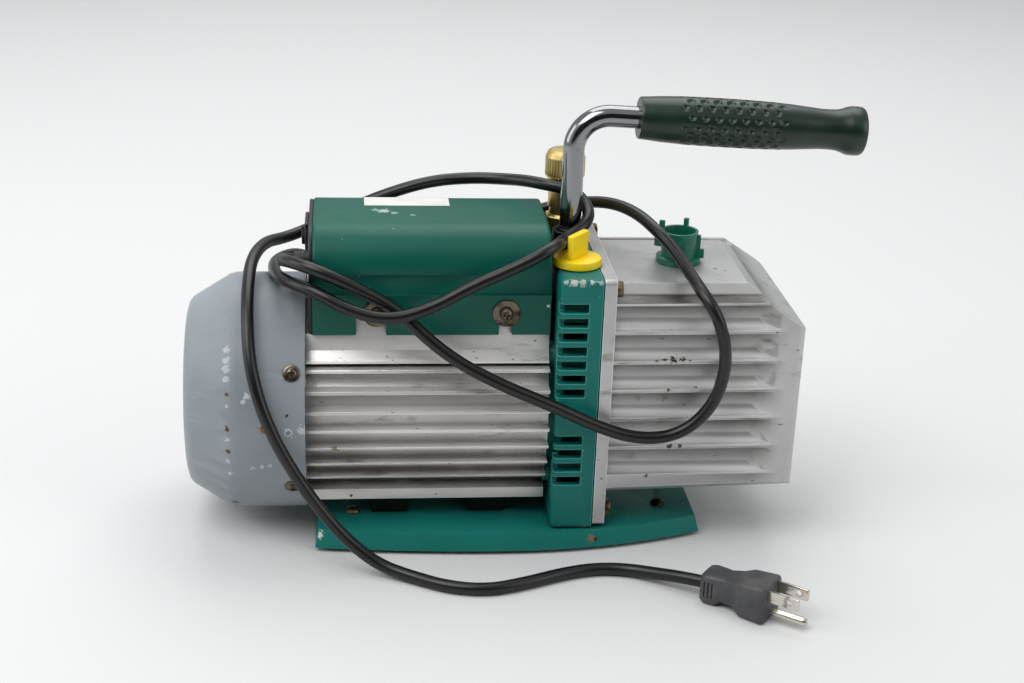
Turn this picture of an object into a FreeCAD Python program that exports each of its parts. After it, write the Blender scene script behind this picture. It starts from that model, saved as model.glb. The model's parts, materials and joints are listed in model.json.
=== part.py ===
import FreeCAD, Part
import math
import os

V = FreeCAD.Vector

# A rotary vane vacuum pump. +X runs from the fan end to the oil case, +Z is up and the
# origin is under the middle of the machine, on the surface that its rubber feet stand on.

# ---- driving dimensions, mm ----
SHAFT_Z = 73.0               # height of the shaft's axis
FAN_X0, FAN_CREASE_X, FAN_X1 = -185.0, -159.5, -120.0
FAN_R, FAN_REAR_R, SHEET = 66.0, 53.5, 1.2
MOTOR_X0, MOTOR_X1 = -120.0, 11.0
MOTOR_ROOT_R, FIN_TIP_R, MOTOR_SHELL_R, MOTOR_BORE_R = 53.0, 60.0, 58.0, 45.5
FIN_PITCH, FIN_T = 10.4, 1.6
BELL_X0, BELL_X1, BELL_HALF_W, BELL_Z0, BELL_Z1 = 14.0, 36.8, 58.4, 12.0, 158.0
WALL = 4.5                   # casting wall of the bell
FLANGE_X0, FLANGE_X1, FLANGE_HALF_W, FLANGE_Z0, FLANGE_Z1 = 37.5, 44.1, 58.1, 13.6, 158.0
CASE_X1, CASE_HALF_W, CASE_Z0, CASE_TOP_Z, CASE_TOP_HALF_W = 149.0, 58.0, 34.0, 149.4, 35.5
CASE_CRESTS = (145.0, 128.6, 111.5, 94.8, 78.2, 61.3, 44.2)   # heights of the ribs' edges
CASE_BOLT_Y, CASE_BOLT_ZS = 49.5, (21.0, 150.5)
BASE_X0, BASE_MID_X, BASE_X1 = -113.0, -6.0, 98.5
BASE_HALF_W, BASE_TOP_Z, BASE_BOTTOM_Z, PLATE_T = 63.0, 12.0, 2.4, 2.0
FEET = [(x, side * y) for x, y in ((-95.0, 33.4), (79.5, 28.6)) for side in (-1, 1)]
BOX_X0, BOX_X1, BOX_HALF_W, BOX_TOP_Z, BOX_CORNER_R = -116.0, 11.0, 43.0, 178.0, 22.0
BOX_T, SKIRT_HALF_W, SKIRT_Z0, SKIRT_Z1 = 1.8, 44.5, 122.5, 145.0
SEAT_Z, SEAT_HALF_W = 122.0, 42.0        # the flat on the motor that carries the box
HANDLE_X, ROD_R, HANDLE_TOP_Z, ROD_BEND_R = 25.3, 6.0, 232.0, 19.0
HANDLE_DROOP = 3.0           # degrees that the grip runs down towards its free end
KNOB = (25.7, -31.5)
KNOB_R, KNOB_DISC_T = 13.0, 4.5
INLET = (25.3, 31.5)
EXHAUST_X = 87.2
GLAND_Y, GLAND_Z = -8.0, 152.5
BORE_R, ROTOR_R, PUMP_R = 24.0, 19.7, 33.0
BORE_Z = SHAFT_Z + 4.0       # the cylinder's bore is eccentric to the rotor
CORD_D = 6.8

# The cord from the gland to the plug, chosen by hand: out of the gland and round to the
# front of the box, down across the motor and the bell, up over the oil case and behind the
# handle, back along the far side and round the rear of the box to its front again, up and
# round the handle, along the far side of the box, down past the fan cover and along the floor.
CORD_ROUTE = [
    (-126, -8, 152.5), (-132, -10, 153.5), (-132.5, -23, 157.5), (-127, -39, 162), (-114, -50.5, 161.5),
    (-96, -51, 153), (-73, -50, 140.5), (-46, -60, 117), (-17, -66, 102.5), (10, -66.5, 91),
    (37, -66.5, 77.5), (58, -66.5, 70.5), (80, -66.5, 72), (97, -66.5, 87), (103.5, -66.5, 108),
    (102, -66.5, 127), (96, -65.5, 142.8), (89.8, -56.5, 151.3), (86, -38, 155.8), (80.5, -20, 163),
    (72.5, -6, 169.5), (65.5, 11, 173), (56.5, 28, 173.5), (45.5, 41, 171.5), (30, 50, 167),
    (13, 54.5, 162.5), (-5, 56, 148), (-22, 55.5, 130.5), (-43, 53, 118), (-68, 51.5, 114.5),
    (-92, 53.5, 119), (-113, 58, 129), (-127, 52, 136.5), (-137, 37, 137.5), (-138.5, 14, 141),
    (-135.5, -14, 145.5), (-128, -38, 150), (-114, -52, 150), (-97, -58, 141.5), (-76, -61, 137),
    (-54, -58, 142.5), (-33, -53.5, 153), (-14, -50.5, 160.5), (0, -49, 167), (9.4, -45.4, 171.4),
    (15.4, -37.5, 172), (16.2, -28, 169), (20.3, -18.5, 167.8), (26.2, -14, 170.2),
    (31.8, -9.5, 173.1), (34.8, -3.8, 175.8), (35.3, 2.2, 178.3), (33.6, 8, 181.4), (29.2, 12.8, 185),
    (22.4, 15.6, 186.9), (13, 19.5, 187.7), (3, 31, 186.5), (-8, 41.5, 184.3), (-25, 48.5, 183),
    (-50, 50, 180.5), (-78, 50, 171.5), (-101, 52.5, 160), (-119, 52, 151), (-133, 42, 148.5),
    (-143.5, 24, 152), (-149.5, 0, 150.5), (-150.5, -26, 144), (-150, -47, 131), (-148.5, -61, 114),
    (-143.5, -70, 95), (-136, -74, 76), (-126, -76, 57), (-113, -78, 37), (-98, -81, 19),
    (-81, -86, 6.5), (-63, -94, 3.5), (-45, -105, 3.5), (-24, -109, 3.5), (-3, -102, 3.5),
    (17, -93, 3.5), (36, -88, 3.5), (53, -90, 3.8), (67, -98, 5.5), (80, -107, 8), (91, -113.5, 8.5)]
PLUG_YAW = -38.0             # direction of the plug, degrees


# ---- small shape helpers ----
def box(x0, x1, y0, y1, z0, z1):
    return Part.makeBox(x1 - x0, y1 - y0, z1 - z0, V(x0, y0, z0))


def rod_x(x0, x1, r, y=0.0, z=SHAFT_Z):
    return Part.makeCylinder(r, x1 - x0, V(x0, y, z), V(1, 0, 0))


def rod_y(y0, y1, r, x, z):
    return Part.makeCylinder(r, y1 - y0, V(x, y0, z), V(0, 1, 0))


def rod_z(z0, z1, r, x, y):
    return Part.makeCylinder(r, z1 - z0, V(x, y, z0), V(0, 0, 1))


def tube_x(x0, x1, r_out, r_in, y=0.0, z=SHAFT_Z):
    return rod_x(x0, x1, r_out, y, z).cut(rod_x(x0 - 1, x1 + 1, r_in, y, z))


def prism_x(points, x0, x1):
    """A solid of constant section: points are (y, z)."""
    wire = Part.makePolygon([V(x0, y, z) for y, z in points + points[:1]])
    return Part.Face(wire).extrude(V(x1 - x0, 0, 0))


def prism_z(points, z0, z1):
    """A solid of constant plan: points are (x, y)."""
    wire = Part.makePolygon([V(x, y, z0) for x, y in points + points[:1]])
    return Part.Face(wire).extrude(V(0, 0, z1 - z0))


def hex_points(across_flats, a, b):
    r = across_flats / math.sqrt(3)
    return [(a + r * math.cos(math.radians(60 * k)), b + r * math.sin(math.radians(60 * k)))
            for k in range(6)]


def turned_x(profile, y=0.0, z=SHAFT_Z):
    """A solid turned about a line along X: profile is closed, of (x, radius)."""
    wire = Part.makePolygon([V(x, y, z + r) for x, r in profile + profile[:1]])
    return Part.Face(wire).revolve(V(0, y, z), V(1, 0, 0), 360)


def turned_z(profile, x, y):
    """A solid turned about an upright line: profile is closed, of (radius, z)."""
    wire = Part.makePolygon([V(x + r, y, z) for r, z in profile + profile[:1]])
    return Part.Face(wire).revolve(V(x, y, 0), V(0, 0, 1), 360)


def fuse(shapes):
    return shapes[0].multiFuse(shapes[1:]).removeSplitter()


def cut(shape, tools):
    return shape.cut(Part.makeCompound(tools)).removeSplitter()


def about_shaft(angle, radius):
    """The (y, z) of a point round the shaft; angle 0 is +Y."""
    a = math.radians(angle)
    return radius * math.cos(a), SHAFT_Z + radius * math.sin(a)


def turn_about_shaft(shape, angle):
    turned = shape.copy()
    turned.rotate(V(0, 0, SHAFT_Z), V(1, 0, 0), angle)
    return turned


def sector_x(x0, x1, r_out, r_in, middle, sweep):
    """Part of a ring about the shaft, sweep degrees wide about the angle middle."""
    reach = 3 * r_out
    wedge = [(0.0, SHAFT_Z)] + [about_shaft(middle + sweep * f, reach) for f in (-0.5, 0.0, 0.5)]
    return tube_x(x0, x1, r_out, r_in).common(prism_x(wedge, x0, x1))


def round_edges(shape, radius, wanted):
    """Round the edges that wanted(edge) picks."""
    return shape.makeFillet(radius, [e for e in shape.Edges if wanted(e)])


# ---- base ----
def base_outline(z, grow):
    """The boat-shaped plan of the base plate, grown outwards by grow."""
    def half_width(x):
        bow = 818.0 if x < BASE_MID_X else 283.0      # radius of each side's curve
        return BASE_HALF_W - (x - BASE_MID_X) ** 2 / (2 * bow) + grow

    x0, x1, xm = BASE_X0 - grow, BASE_X1 + grow, BASE_MID_X

    def side(s):
        rear = Part.Arc(V(x0, s * half_width(x0), z), V((x0 + xm) / 2, s * half_width((x0 + xm) / 2), z),
                        V(xm, s * half_width(xm), z)).toShape()
        front = Part.Arc(V(xm, s * half_width(xm), z), V((x1 + xm) / 2, s * half_width((x1 + xm) / 2), z),
                         V(x1, s * half_width(x1), z)).toShape()
        return [rear, front]

    ends = [Part.makeLine(V(x, -half_width(x), z), V(x, half_width(x), z)) for x in (x0, x1)]
    return Part.Wire(Part.__sortEdges__(side(1) + side(-1) + ends))


BASE_SCREWS = [(x, y) for x in (-74.0, -20.0) for y in (-29.0, 29.0)] + [(26.0, -30.0), (26.0, 30.0)]


def base_plate():
    """Pressed steel tray, open below, with a skirt that leans out towards the floor."""
    outer = Part.makeLoft([base_outline(BASE_TOP_Z, 0.0), base_outline(BASE_BOTTOM_Z, 2.5)], True)
    inner = Part.makeLoft([base_outline(BASE_TOP_Z - PLATE_T, -PLATE_T),
                           base_outline(BASE_BOTTOM_Z - 1.0, 2.8 - PLATE_T)], True)
    holes = [rod_z(0, 20, 2.2, x, y) for x, y in FEET] + [rod_z(0, 20, 2.2, x, y) for x, y in BASE_SCREWS]
    return cut(outer, [inner] + holes)


def rubber_feet():
    under = BASE_TOP_Z - PLATE_T
    profile = [(2.1, 0.0), (8.0, 0.0), (9.5, 2.0), (9.5, under), (2.1, under)]
    return [turned_z(profile, x, y) for x, y in FEET]


def pan_screw_z(x, y, z, head_r, head_t, shank_r, length, up=1):
    """A pan-head screw standing on z, its head towards up and its shank away from it."""
    screw = turned_z([(0, -length), (shank_r, -length), (shank_r, 0), (head_r, 0),
                      (head_r, head_t * 0.45), (head_r * 0.6, head_t), (0, head_t)], 0, 0)
    if up < 0:
        screw.rotate(V(0, 0, 0), V(1, 0, 0), 180)
    screw.translate(V(x, y, z))
    return screw


def base_screws():
    """Screws down into the rubber feet, and up through the tray into the motor and the bell."""
    head_r, head_t, shank_r, length = 4.0, 2.4, 2.0, 9.0
    return ([pan_screw_z(x, y, BASE_TOP_Z, head_r, head_t, shank_r, length) for x, y in FEET] +
            [pan_screw_z(x, y, BASE_TOP_Z - PLATE_T, head_r, head_t, shank_r, length, up=-1)
             for x, y in BASE_SCREWS])


# ---- motor ----
def motor_frame():
    """Finned extrusion, with side rails on top that the box is screwed to."""
    x0, x1 = MOTOR_X0, MOTOR_X1
    fins_to = rod_x(x0, x1, FIN_TIP_R)
    pieces = [rod_x(x0, x1, MOTOR_ROOT_R)]
    for k in range(-3, 4):
        z = SHAFT_Z + k * FIN_PITCH
        pieces.append(box(x0, x1, -FIN_TIP_R, FIN_TIP_R, z - FIN_T / 2, z + FIN_T / 2).common(fins_to))
    shoulder_z = SHAFT_Z + 34.0
    pieces.append(rod_x(x0, x1, MOTOR_SHELL_R).common(box(x0, x1, -60, 60, shoulder_z, SEAT_Z)))
    pieces.append(box(x0, x1, -SEAT_HALF_W, SEAT_HALF_W, SHAFT_Z + 20, SEAT_Z))
    rails = []
    for side in (-1, 1):
        rail = sorted((side * (SEAT_HALF_W - 4), side * SEAT_HALF_W))
        rails.append(box(BOX_X0 + 2, BOX_X1 - END_T - 0.5, rail[0], rail[1], SEAT_Z - 1, SEAT_Z + 20))
        bar = sorted((side * 20, side * 44))
        pieces.append(box(x0, x1, bar[0], bar[1], 25, 31))
    for x, y in BASE_SCREWS[:4]:
        pieces.append(box(x - 10, x + 10, y - 6, y + 6, BASE_TOP_Z, 30))
    holes = [rod_x(x0 - 1, x1 + 1, MOTOR_BORE_R)]
    holes += [rod_x(x0 - 1, x1 + 1, 2.2, *about_shaft(a, TIE_R)) for a in TIE_ANGLES]
    holes += [rod_z(0, 21, 2.1, x, y) for x, y in BASE_SCREWS[:4]]
    holes += [rod_y(s * 37, s * 43, 2.1, x, BOX_SCREW_Z) if s > 0 else rod_y(-43, -37, 2.1, x, BOX_SCREW_Z)
              for x in BOX_SCREW_XS for s in (-1, 1)]
    above = box(x0 - 1, x1 + 1, -60, 60, SEAT_Z, 160)
    return cut(fuse([cut(fuse(pieces), [above])] + rails), holes)


TIE_ANGLES, TIE_R = (45, 135, 225, 315), 49.3
BOX_SCREW_XS, BOX_SCREW_Z = (-82.0, -13.0), 135.0
CORE_X0, CORE_X1, CORE_OUT_R, CORE_IN_R = -88.0, -28.0, 45.4, 26.0
SLOTS = 24


def stator_core():
    slots = []
    for k in range(SLOTS):
        slot = box(CORE_X0 - 1, CORE_X1 + 1, CORE_IN_R + 2, 40, SHAFT_Z - 1.6, SHAFT_Z + 1.6)
        slots.append(turn_about_shaft(slot, 360.0 * k / SLOTS))
    return cut(tube_x(CORE_X0, CORE_X1, CORE_OUT_R, CORE_IN_R), slots)


def stator_windings():
    """Two end turns, joined by a coil side through each slot of the core."""
    gap, turn = 0.6, 16.0
    pieces = [tube_x(CORE_X0 - gap - turn, CORE_X0 - gap, 41.0, 28.5),
              tube_x(CORE_X1 + gap, CORE_X1 + gap + turn, 41.0, 28.5)]
    for k in range(SLOTS):
        bar = box(CORE_X0 - gap - 1, CORE_X1 + gap + 1, CORE_IN_R + 3, 39.4, SHAFT_Z - 1.3, SHAFT_Z + 1.3)
        pieces.append(turn_about_shaft(bar, 360.0 * k / SLOTS))
    return fuse(pieces)


REAR_BEARING, FRONT_BEARING = (-120.5, -109.5), (15.0, 26.0)
BEARING_IN_R, BEARING_OUT_R = 7.5, 17.5


def motor_shaft():
    rear, front = REAR_BEARING, FRONT_BEARING
    steps = [(-171, rear[0], 5.0), (rear[0], rear[1], BEARING_IN_R), (rear[1], front[0], 9.0),
             (front[0], front[1], BEARING_IN_R), (front[1], front[1] + 3.4, 6.0)]
    profile = [(steps[0][0], 0.0)]
    for x0, x1, r in steps:
        profile += [(x0, r), (x1, r)]
    return turned_x(profile + [(steps[-1][1], 0.0)])


def rotor_core():
    return tube_x(CORE_X0, CORE_X1, CORE_IN_R - 0.6, 9.0)


def rotor_end_rings():
    return [tube_x(CORE_X0 - 6, CORE_X0, 25.0, 14.0), tube_x(CORE_X1, CORE_X1 + 6, 25.0, 14.0)]


def bearing_outer_races():
    return [tube_x(x0, x1, BEARING_OUT_R, 14.7) for x0, x1 in (REAR_BEARING, FRONT_BEARING)]


def bearing_inner_races():
    return [tube_x(x0, x1, 10.3, BEARING_IN_R) for x0, x1 in (REAR_BEARING, FRONT_BEARING)]


def bearing_cages():
    """Eight balls and the pocketed ring that spaces them, for each bearing."""
    ball_r, pitch_r, solids = 1.85, 12.5, []
    for x0, x1 in (REAR_BEARING, FRONT_BEARING):
        middle = (x0 + x1) / 2
        centres = [about_shaft(45 * k, pitch_r) for k in range(8)]
        pockets = [Part.makeSphere(ball_r + 0.15, V(middle, y, z)) for y, z in centres]
        solids.append(cut(tube_x(middle - 3, middle + 3, 13.2, 11.8), pockets))
        solids += [Part.makeSphere(ball_r, V(middle, y, z)) for y, z in centres]
    return solids


COVER_SCREW_ANGLES = (30, 150, 210, 330)
COVER_SCREW_X = -127.0


def rear_bracket():
    """Cast end frame: bearing seat, spigot into the motor and four lugs under the fan cover."""
    plate_x0, plate_x1 = -126.0, MOTOR_X0
    pieces = [rod_x(plate_x0, plate_x1, 52.0), rod_x(plate_x1, plate_x1 + 5, MOTOR_BORE_R - 0.05),
              rod_x(plate_x0, REAR_BEARING[1], 22.0)]
    for angle in COVER_SCREW_ANGLES:
        lug = box(plate_x0 - 5, plate_x1, 40, FAN_R - SHEET - 0.1, SHAFT_Z - 6, SHAFT_Z + 6)
        lug = lug.common(rod_x(plate_x0 - 5, plate_x1, FAN_R - SHEET - 0.1))
        pieces.append(turn_about_shaft(lug, angle))
    holes = [rod_x(REAR_BEARING[0], -100, BEARING_OUT_R), rod_x(plate_x0 - 6, 0, 9.6)]
    holes += [rod_x(plate_x0 - 6, 0, 2.2, *about_shaft(a, TIE_R)) for a in TIE_ANGLES]
    for angle in COVER_SCREW_ANGLES:
        holes.append(turn_about_shaft(rod_y(50, 70, 1.8, COVER_SCREW_X, SHAFT_Z), angle))
    return cut(fuse(pieces), holes)


def tie_bolts():
    """Long bolts that clamp the rear bracket and the motor to the bell."""
    bolts = []
    for angle in TIE_ANGLES:
        y, z = about_shaft(angle, TIE_R)
        head = prism_x(hex_points(7.0, y, z), -129.0, -126.0)
        bolts.append(fuse([head, rod_x(-126.5, 28.0, 2.0, y, z)]))
    return bolts


# ---- fan and its cover ----
def fan_cover():
    """Spun and pressed steel cover, with a ring of air slots in its rear face."""
    x0, xc, x1, t = FAN_X0, FAN_CREASE_X, FAN_X1, SHEET
    rim = [(0, -6.0), (0.9, -3.0), (2.6, -0.9), (5.0, 0.6)]
    outside = [(x0 + dx, FAN_REAR_R + dr) for dx, dr in rim] + [(xc - 3, FAN_R - 1.1), (xc, FAN_R - 0.3),
                                                                (xc + 3, FAN_R)]
    inside = [(xc + 3, FAN_R - t), (xc - 2.6, FAN_R - t - 1.2)] + [
        (x0 + dx + 0.9 * t, FAN_REAR_R + dr - 0.9 * t) for dx, dr in reversed(rim)]
    shell = turned_x([(x0, 0)] + outside + [(x1, FAN_R), (x1, FAN_R - t)] + inside + [(x0 + 0.9 * t, 0)])
    slots = []
    for r_in, r_out in ((12, 18), (23, 29), (34, 40)):
        for k in range(6):
            slots.append(sector_x(x0 - 1, x0 + 3, r_out, r_in, 30 + 60 * k, 60 - 400.0 / r_out))
    for angle in COVER_SCREW_ANGLES:
        slots.append(turn_about_shaft(rod_y(60, 70, 2.0, COVER_SCREW_X, SHAFT_Z), angle))
    return cut(shell, slots)


def fan_cover_screws():
    screws = []
    for angle in COVER_SCREW_ANGLES:
        head = Part.makeCone(4.3, 2.6, 2.2, V(COVER_SCREW_X, FAN_R + 0.15, SHAFT_Z), V(0, 1, 0))
        shank = rod_y(FAN_R - 10, FAN_R + 1, 1.7, COVER_SCREW_X, SHAFT_Z)
        screws.append(turn_about_shaft(fuse([head, shank]), angle))
    return screws


def cooling_fan():
    """Moulded fan: hub, back plate and eight straight blades."""
    pieces = [tube_x(-166, -140, 12.0, 5.0), tube_x(-144, -142, 50.0, 5.0)]
    blade = box(-164, -143, 11, 49, SHAFT_Z - 1, SHAFT_Z + 1)
    pieces += [turn_about_shaft(blade, 45 * k) for k in range(8)]
    return fuse(pieces)


# ---- electrical box ----
def box_section(half_w, top_z, corner_r, z0):
    """Closed face at BOX_X0: upright sides and rounded top corners."""
    x, r, k = BOX_X0, corner_r, math.sqrt(0.5)
    a = top_z - r
    edges = [Part.makeLine(V(x, -half_w, z0), V(x, half_w, z0)), Part.makeLine(V(x, half_w, z0), V(x, half_w, a)),
             Part.Arc(V(x, half_w, a), V(x, half_w - r + r * k, a + r * k), V(x, half_w - r, top_z)).toShape(),
             Part.makeLine(V(x, half_w - r, top_z), V(x, r - half_w, top_z)),
             Part.Arc(V(x, r - half_w, top_z), V(x, r - half_w - r * k, a + r * k), V(x, -half_w, a)).toShape(),
             Part.makeLine(V(x, -half_w, a), V(x, -half_w, z0))]
    return Part.Face(Part.Wire(Part.__sortEdges__(edges)))


def box_solid(inset, z0, x0=BOX_X0, x1=BOX_X1):
    section = box_section(BOX_HALF_W - inset, BOX_TOP_Z - inset, BOX_CORNER_R - inset, z0)
    section.translate(V(x0 - BOX_X0, 0, 0))
    return section.extrude(V(x1 - x0, 0, 0))


BOX_NOTCHES = ((-93.0, -77.0), (-16.7, -9.7))


def box_cover():
    """Bent cover with a wider skirt that is notched round its screws."""
    skirt = box(BOX_X0, BOX_X1, -SKIRT_HALF_W, SKIRT_HALF_W, SKIRT_Z0, SKIRT_Z1)
    outer = fuse([box_solid(0.0, SKIRT_Z0), skirt])
    hollow = fuse([box_solid(BOX_T, SKIRT_Z0 - 1, BOX_X0 - 1, BOX_X1 + 1),
                   box(BOX_X0 - 1, BOX_X1 + 1, -SEAT_HALF_W - 0.3, SEAT_HALF_W + 0.3, SKIRT_Z0 - 1, SKIRT_Z1 - 2)])
    notches = []
    for x0, x1 in BOX_NOTCHES:
        for y0, y1 in ((-50, -40), (40, 50)):
            notches += [box(x0, x1, y0, y1, 120, BOX_SCREW_Z + 1)]
    for x in BOX_SCREW_XS:
        notches += [rod_y(-50, -40, 2.3, x, BOX_SCREW_Z), rod_y(40, 50, 2.3, x, BOX_SCREW_Z)]
    return cut(outer, [hollow] + notches)


SWITCH_Y, SWITCH_Z, SWITCH_HALF_Y, SWITCH_HALF_Z = -8.0, 169.0, 9.0, 5.6
END_T = 2.0


def box_end_plates():
    """Moulded closing plates; the rear one carries the switch and the cord's gland."""
    rear = box_solid(0.8, SEAT_Z + 1.0, BOX_X0 - END_T, BOX_X0)
    front = box_solid(BOX_T + 0.1, SEAT_Z + 1.0, BOX_X1 - END_T, BOX_X1)
    holes = [box(-125, -110, SWITCH_Y - 9.6, SWITCH_Y + 9.6, SWITCH_Z - 6.2, SWITCH_Z + 6.2),
             rod_x(-125, -110, 6.2, GLAND_Y, GLAND_Z)]
    return [cut(rear, holes), front]


def switch_bezel():
    x_out, x_face, x_in = BOX_X0 - END_T - 2.0, BOX_X0 - END_T, BOX_X0 + 12.0
    rim = box(x_out, x_face, SWITCH_Y - 11, SWITCH_Y + 11, SWITCH_Z - 7.4, SWITCH_Z + 7.4)
    body = box(x_face, x_in, SWITCH_Y - 9.5, SWITCH_Y + 9.5, SWITCH_Z - 6.1, SWITCH_Z + 6.1)
    well = box(x_out - 1, BOX_X0 + 8, SWITCH_Y - SWITCH_HALF_Y - 0.3, SWITCH_Y + SWITCH_HALF_Y + 0.3,
               SWITCH_Z - SWITCH_HALF_Z - 0.2, SWITCH_Z + SWITCH_HALF_Z + 0.2)
    return cut(fuse([rim, body]), [well])


SWITCH_TILT = 9.0            # degrees each side of level
SWITCH_PIVOT_X = BOX_X0 - 0.5


def rocker_switch():
    """Rocker at rest in its off position, tilted about an upright pin."""
    face = SWITCH_PIVOT_X - 3.6
    half = SWITCH_HALF_Y - 0.6
    plan = [(SWITCH_PIVOT_X + 2.2, SWITCH_Y - 4), (SWITCH_PIVOT_X + 0.4, SWITCH_Y - half),
            (face - 0.6, SWITCH_Y - half), (face + 0.8, SWITCH_Y), (face - 0.6, SWITCH_Y + half),
            (SWITCH_PIVOT_X + 0.4, SWITCH_Y + half), (SWITCH_PIVOT_X + 2.2, SWITCH_Y + 4)]
    rocker = prism_z(plan, SWITCH_Z - SWITCH_HALF_Z + 0.3, SWITCH_Z + SWITCH_HALF_Z - 0.3)
    rocker.rotate(V(SWITCH_PIVOT_X, SWITCH_Y, SWITCH_Z), V(0, 0, 1), -SWITCH_TILT)
    return rocker


def cord_gland():
    """Bushing through the rear plate, with a tapering nose that the cord leaves by."""
    x_face, x_nose = BOX_X0 - END_T, CORD_ROUTE[0][0]
    return turned_x([(x_nose, CORD_D / 2 + 0.1), (x_nose, 4.8), (x_face - 2.0, 5.6), (x_face - 2.0, 8.0),
                     (x_face, 8.0), (x_face, 6.1), (x_face + 6.0, 6.1), (x_face + 6.0, CORD_D / 2 + 0.1)],
                    GLAND_Y, GLAND_Z)


def box_screws():
    screws = []
    for x in BOX_SCREW_XS:
        screw = fuse([Part.makeCone(3.7, 3.0, 2.6, V(x, 45.7, BOX_SCREW_Z), V(0, 1, 0)),
                      Part.makeCone(3.0, 1.6, 1.4, V(x, 48.3, BOX_SCREW_Z), V(0, 1, 0)),
                      rod_y(36, 46, 2.0, x, BOX_SCREW_Z)])
        screws += [screw, screw.mirror(V(0, 0, 0), V(0, 1, 0))]
    return screws


def box_washers():
    washers = []
    for x in BOX_SCREW_XS:
        washer = rod_y(SKIRT_HALF_W, SKIRT_HALF_W + 1.2, 7.4, x, BOX_SCREW_Z)
        washer = washer.cut(rod_y(40, 50, 2.3, x, BOX_SCREW_Z))
        washers += [washer, washer.mirror(V(0, 0, 0), V(0, 1, 0))]
    return washers


def capacitor():
    return turned_x([(-66, 0), (-66, 16), (-64, 17.5), (-3, 17.5), (-1, 16.5), (-1, 0)], 8.0, SEAT_Z + 17.6)


def terminal_block():
    block = box(-100, -72, -16, 12, SEAT_Z, SEAT_Z + 12)
    ways = [box(-96.0 + 8 * k, -91.5 + 8 * k, -20, 20, SEAT_Z + 5, SEAT_Z + 14) for k in range(3)]
    return cut(block, ways)


def blank_label():
    """Thin plain sticker that follows the top of the box over its far edge."""
    skin = box_solid(-0.25, 150.0).cut(box_solid(0.0, 149.0, BOX_X0 - 1, BOX_X1 + 1))
    return skin.common(box(-88, -41, 9, 36, 160, 185))


# ---- bell ----
LOUVRE_H, LOUVRE_PITCH, LOUVRE_X1 = 5.2, 8.1, 29.5
LOUVRE_TOP_ZS = [145.0 - LOUVRE_PITCH * k for k in range(7)] + [68.6 - LOUVRE_PITCH * k for k in range(4)]
HANDLE_BOSS_Z0, KNOB_BOSS_Z0, KNOB_STEM_R = 134.0, 128.0, 3.5


def end_bell():
    """Painted casting between motor and pump: vented box, bearing hub and the top bosses."""
    x0, x1, w, z0, z1, t = BELL_X0, BELL_X1, BELL_HALF_W, BELL_Z0, BELL_Z1, WALL
    outer = round_edges(box(x0, x1, -w, w, z0, z1), 2.5,
                        lambda e: e.BoundBox.XLength > 5 or (e.BoundBox.XMax < x0 + 0.1))
    wall_x = x1 - 6.0
    hollow = [box(x0 + 3, wall_x, t - w, w - t, z0 + t, z1 - t), rod_x(x0 - 1, x0 + 4, 55.0)]
    shell = cut(outer, hollow)
    inside = [rod_x(x0, wall_x + 1, 23.0), tube_x(MOTOR_X1 - 4, x0 + 6, MOTOR_BORE_R - 0.05, 40.0)]
    for angle in TIE_ANGLES:
        inside.append(rod_x(MOTOR_X1, wall_x + 1, 7.0, *about_shaft(angle, TIE_R)))
        inside.append(sector_x(x0 - 0.5, wall_x + 1, 46.0, 20.0, angle, 9.0))
    for z in CASE_BOLT_ZS:
        for s in (-1, 1):
            inside.append(box(x0 + 3, wall_x + 1, *sorted((s * 43, s * (w - 1))), z - 6, z + 6))
    middle_x = (x0 + 3 + wall_x) / 2
    for (x, y), low in (((HANDLE_X, 0), HANDLE_BOSS_Z0), (KNOB, KNOB_BOSS_Z0), (INLET, KNOB_BOSS_Z0)):
        inside.append(box(x0 + 3, wall_x + 1, y - 9, y + 9, low, z1 - 1))
    for x, y in BASE_SCREWS[4:]:
        inside.append(rod_z(z0 + 1, z0 + 14, 5.5, middle_x + 2, y))
    louvres = []
    for z in LOUVRE_TOP_ZS:
        for s in (-1, 1):
            louvres.append(box(x0 - 1, LOUVRE_X1, *sorted((s * (w - t - 1.5), s * (w + 1))), z - LOUVRE_H, z))
    holes = [rod_x(FRONT_BEARING[0] - 10, FRONT_BEARING[1], BEARING_OUT_R), rod_x(0, 40, 15.0)]
    holes += [rod_x(0, 28.5, 2.2, *about_shaft(a, TIE_R)) for a in TIE_ANGLES]
    holes += [rod_x(22, 40, 3.1, s * CASE_BOLT_Y, z) for z in CASE_BOLT_ZS for s in (-1, 1)]
    holes += [rod_x(wall_x - 8, 40, 2.6, *about_shaft(a, PUMP_BOLT_R)) for a in PUMP_BOLT_ANGLES]
    holes += [rod_z(HANDLE_BOSS_Z0 + 5, 170, ROD_R + 0.05, HANDLE_X, 0),
              rod_z(KNOB_BOSS_Z0 + 5, 170, KNOB_STEM_R + 0.08, *KNOB), rod_z(KNOB_BOSS_Z0 + 5, 170, 7.05, *INLET)]
    holes += [rod_z(0, z0 + 11, 2.1, x, y) for x, y in BASE_SCREWS[4:]]
    return cut(fuse([shell] + inside), louvres + holes)


# ---- oil case ----
def case_gasket():
    inset = 1.0
    sheet = box(BELL_X1, FLANGE_X0, inset - FLANGE_HALF_W, FLANGE_HALF_W - inset,
                FLANGE_Z0 + inset, FLANGE_Z1 - inset)
    window = box(BELL_X1 - 1, FLANGE_X0 + 1, -47.5, 47.5, 38.5, 142)
    holes = [rod_x(30, 40, 3.4, s * CASE_BOLT_Y, z) for z in CASE_BOLT_ZS for s in (-1, 1)]
    return cut(sheet, [window] + holes)


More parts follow.
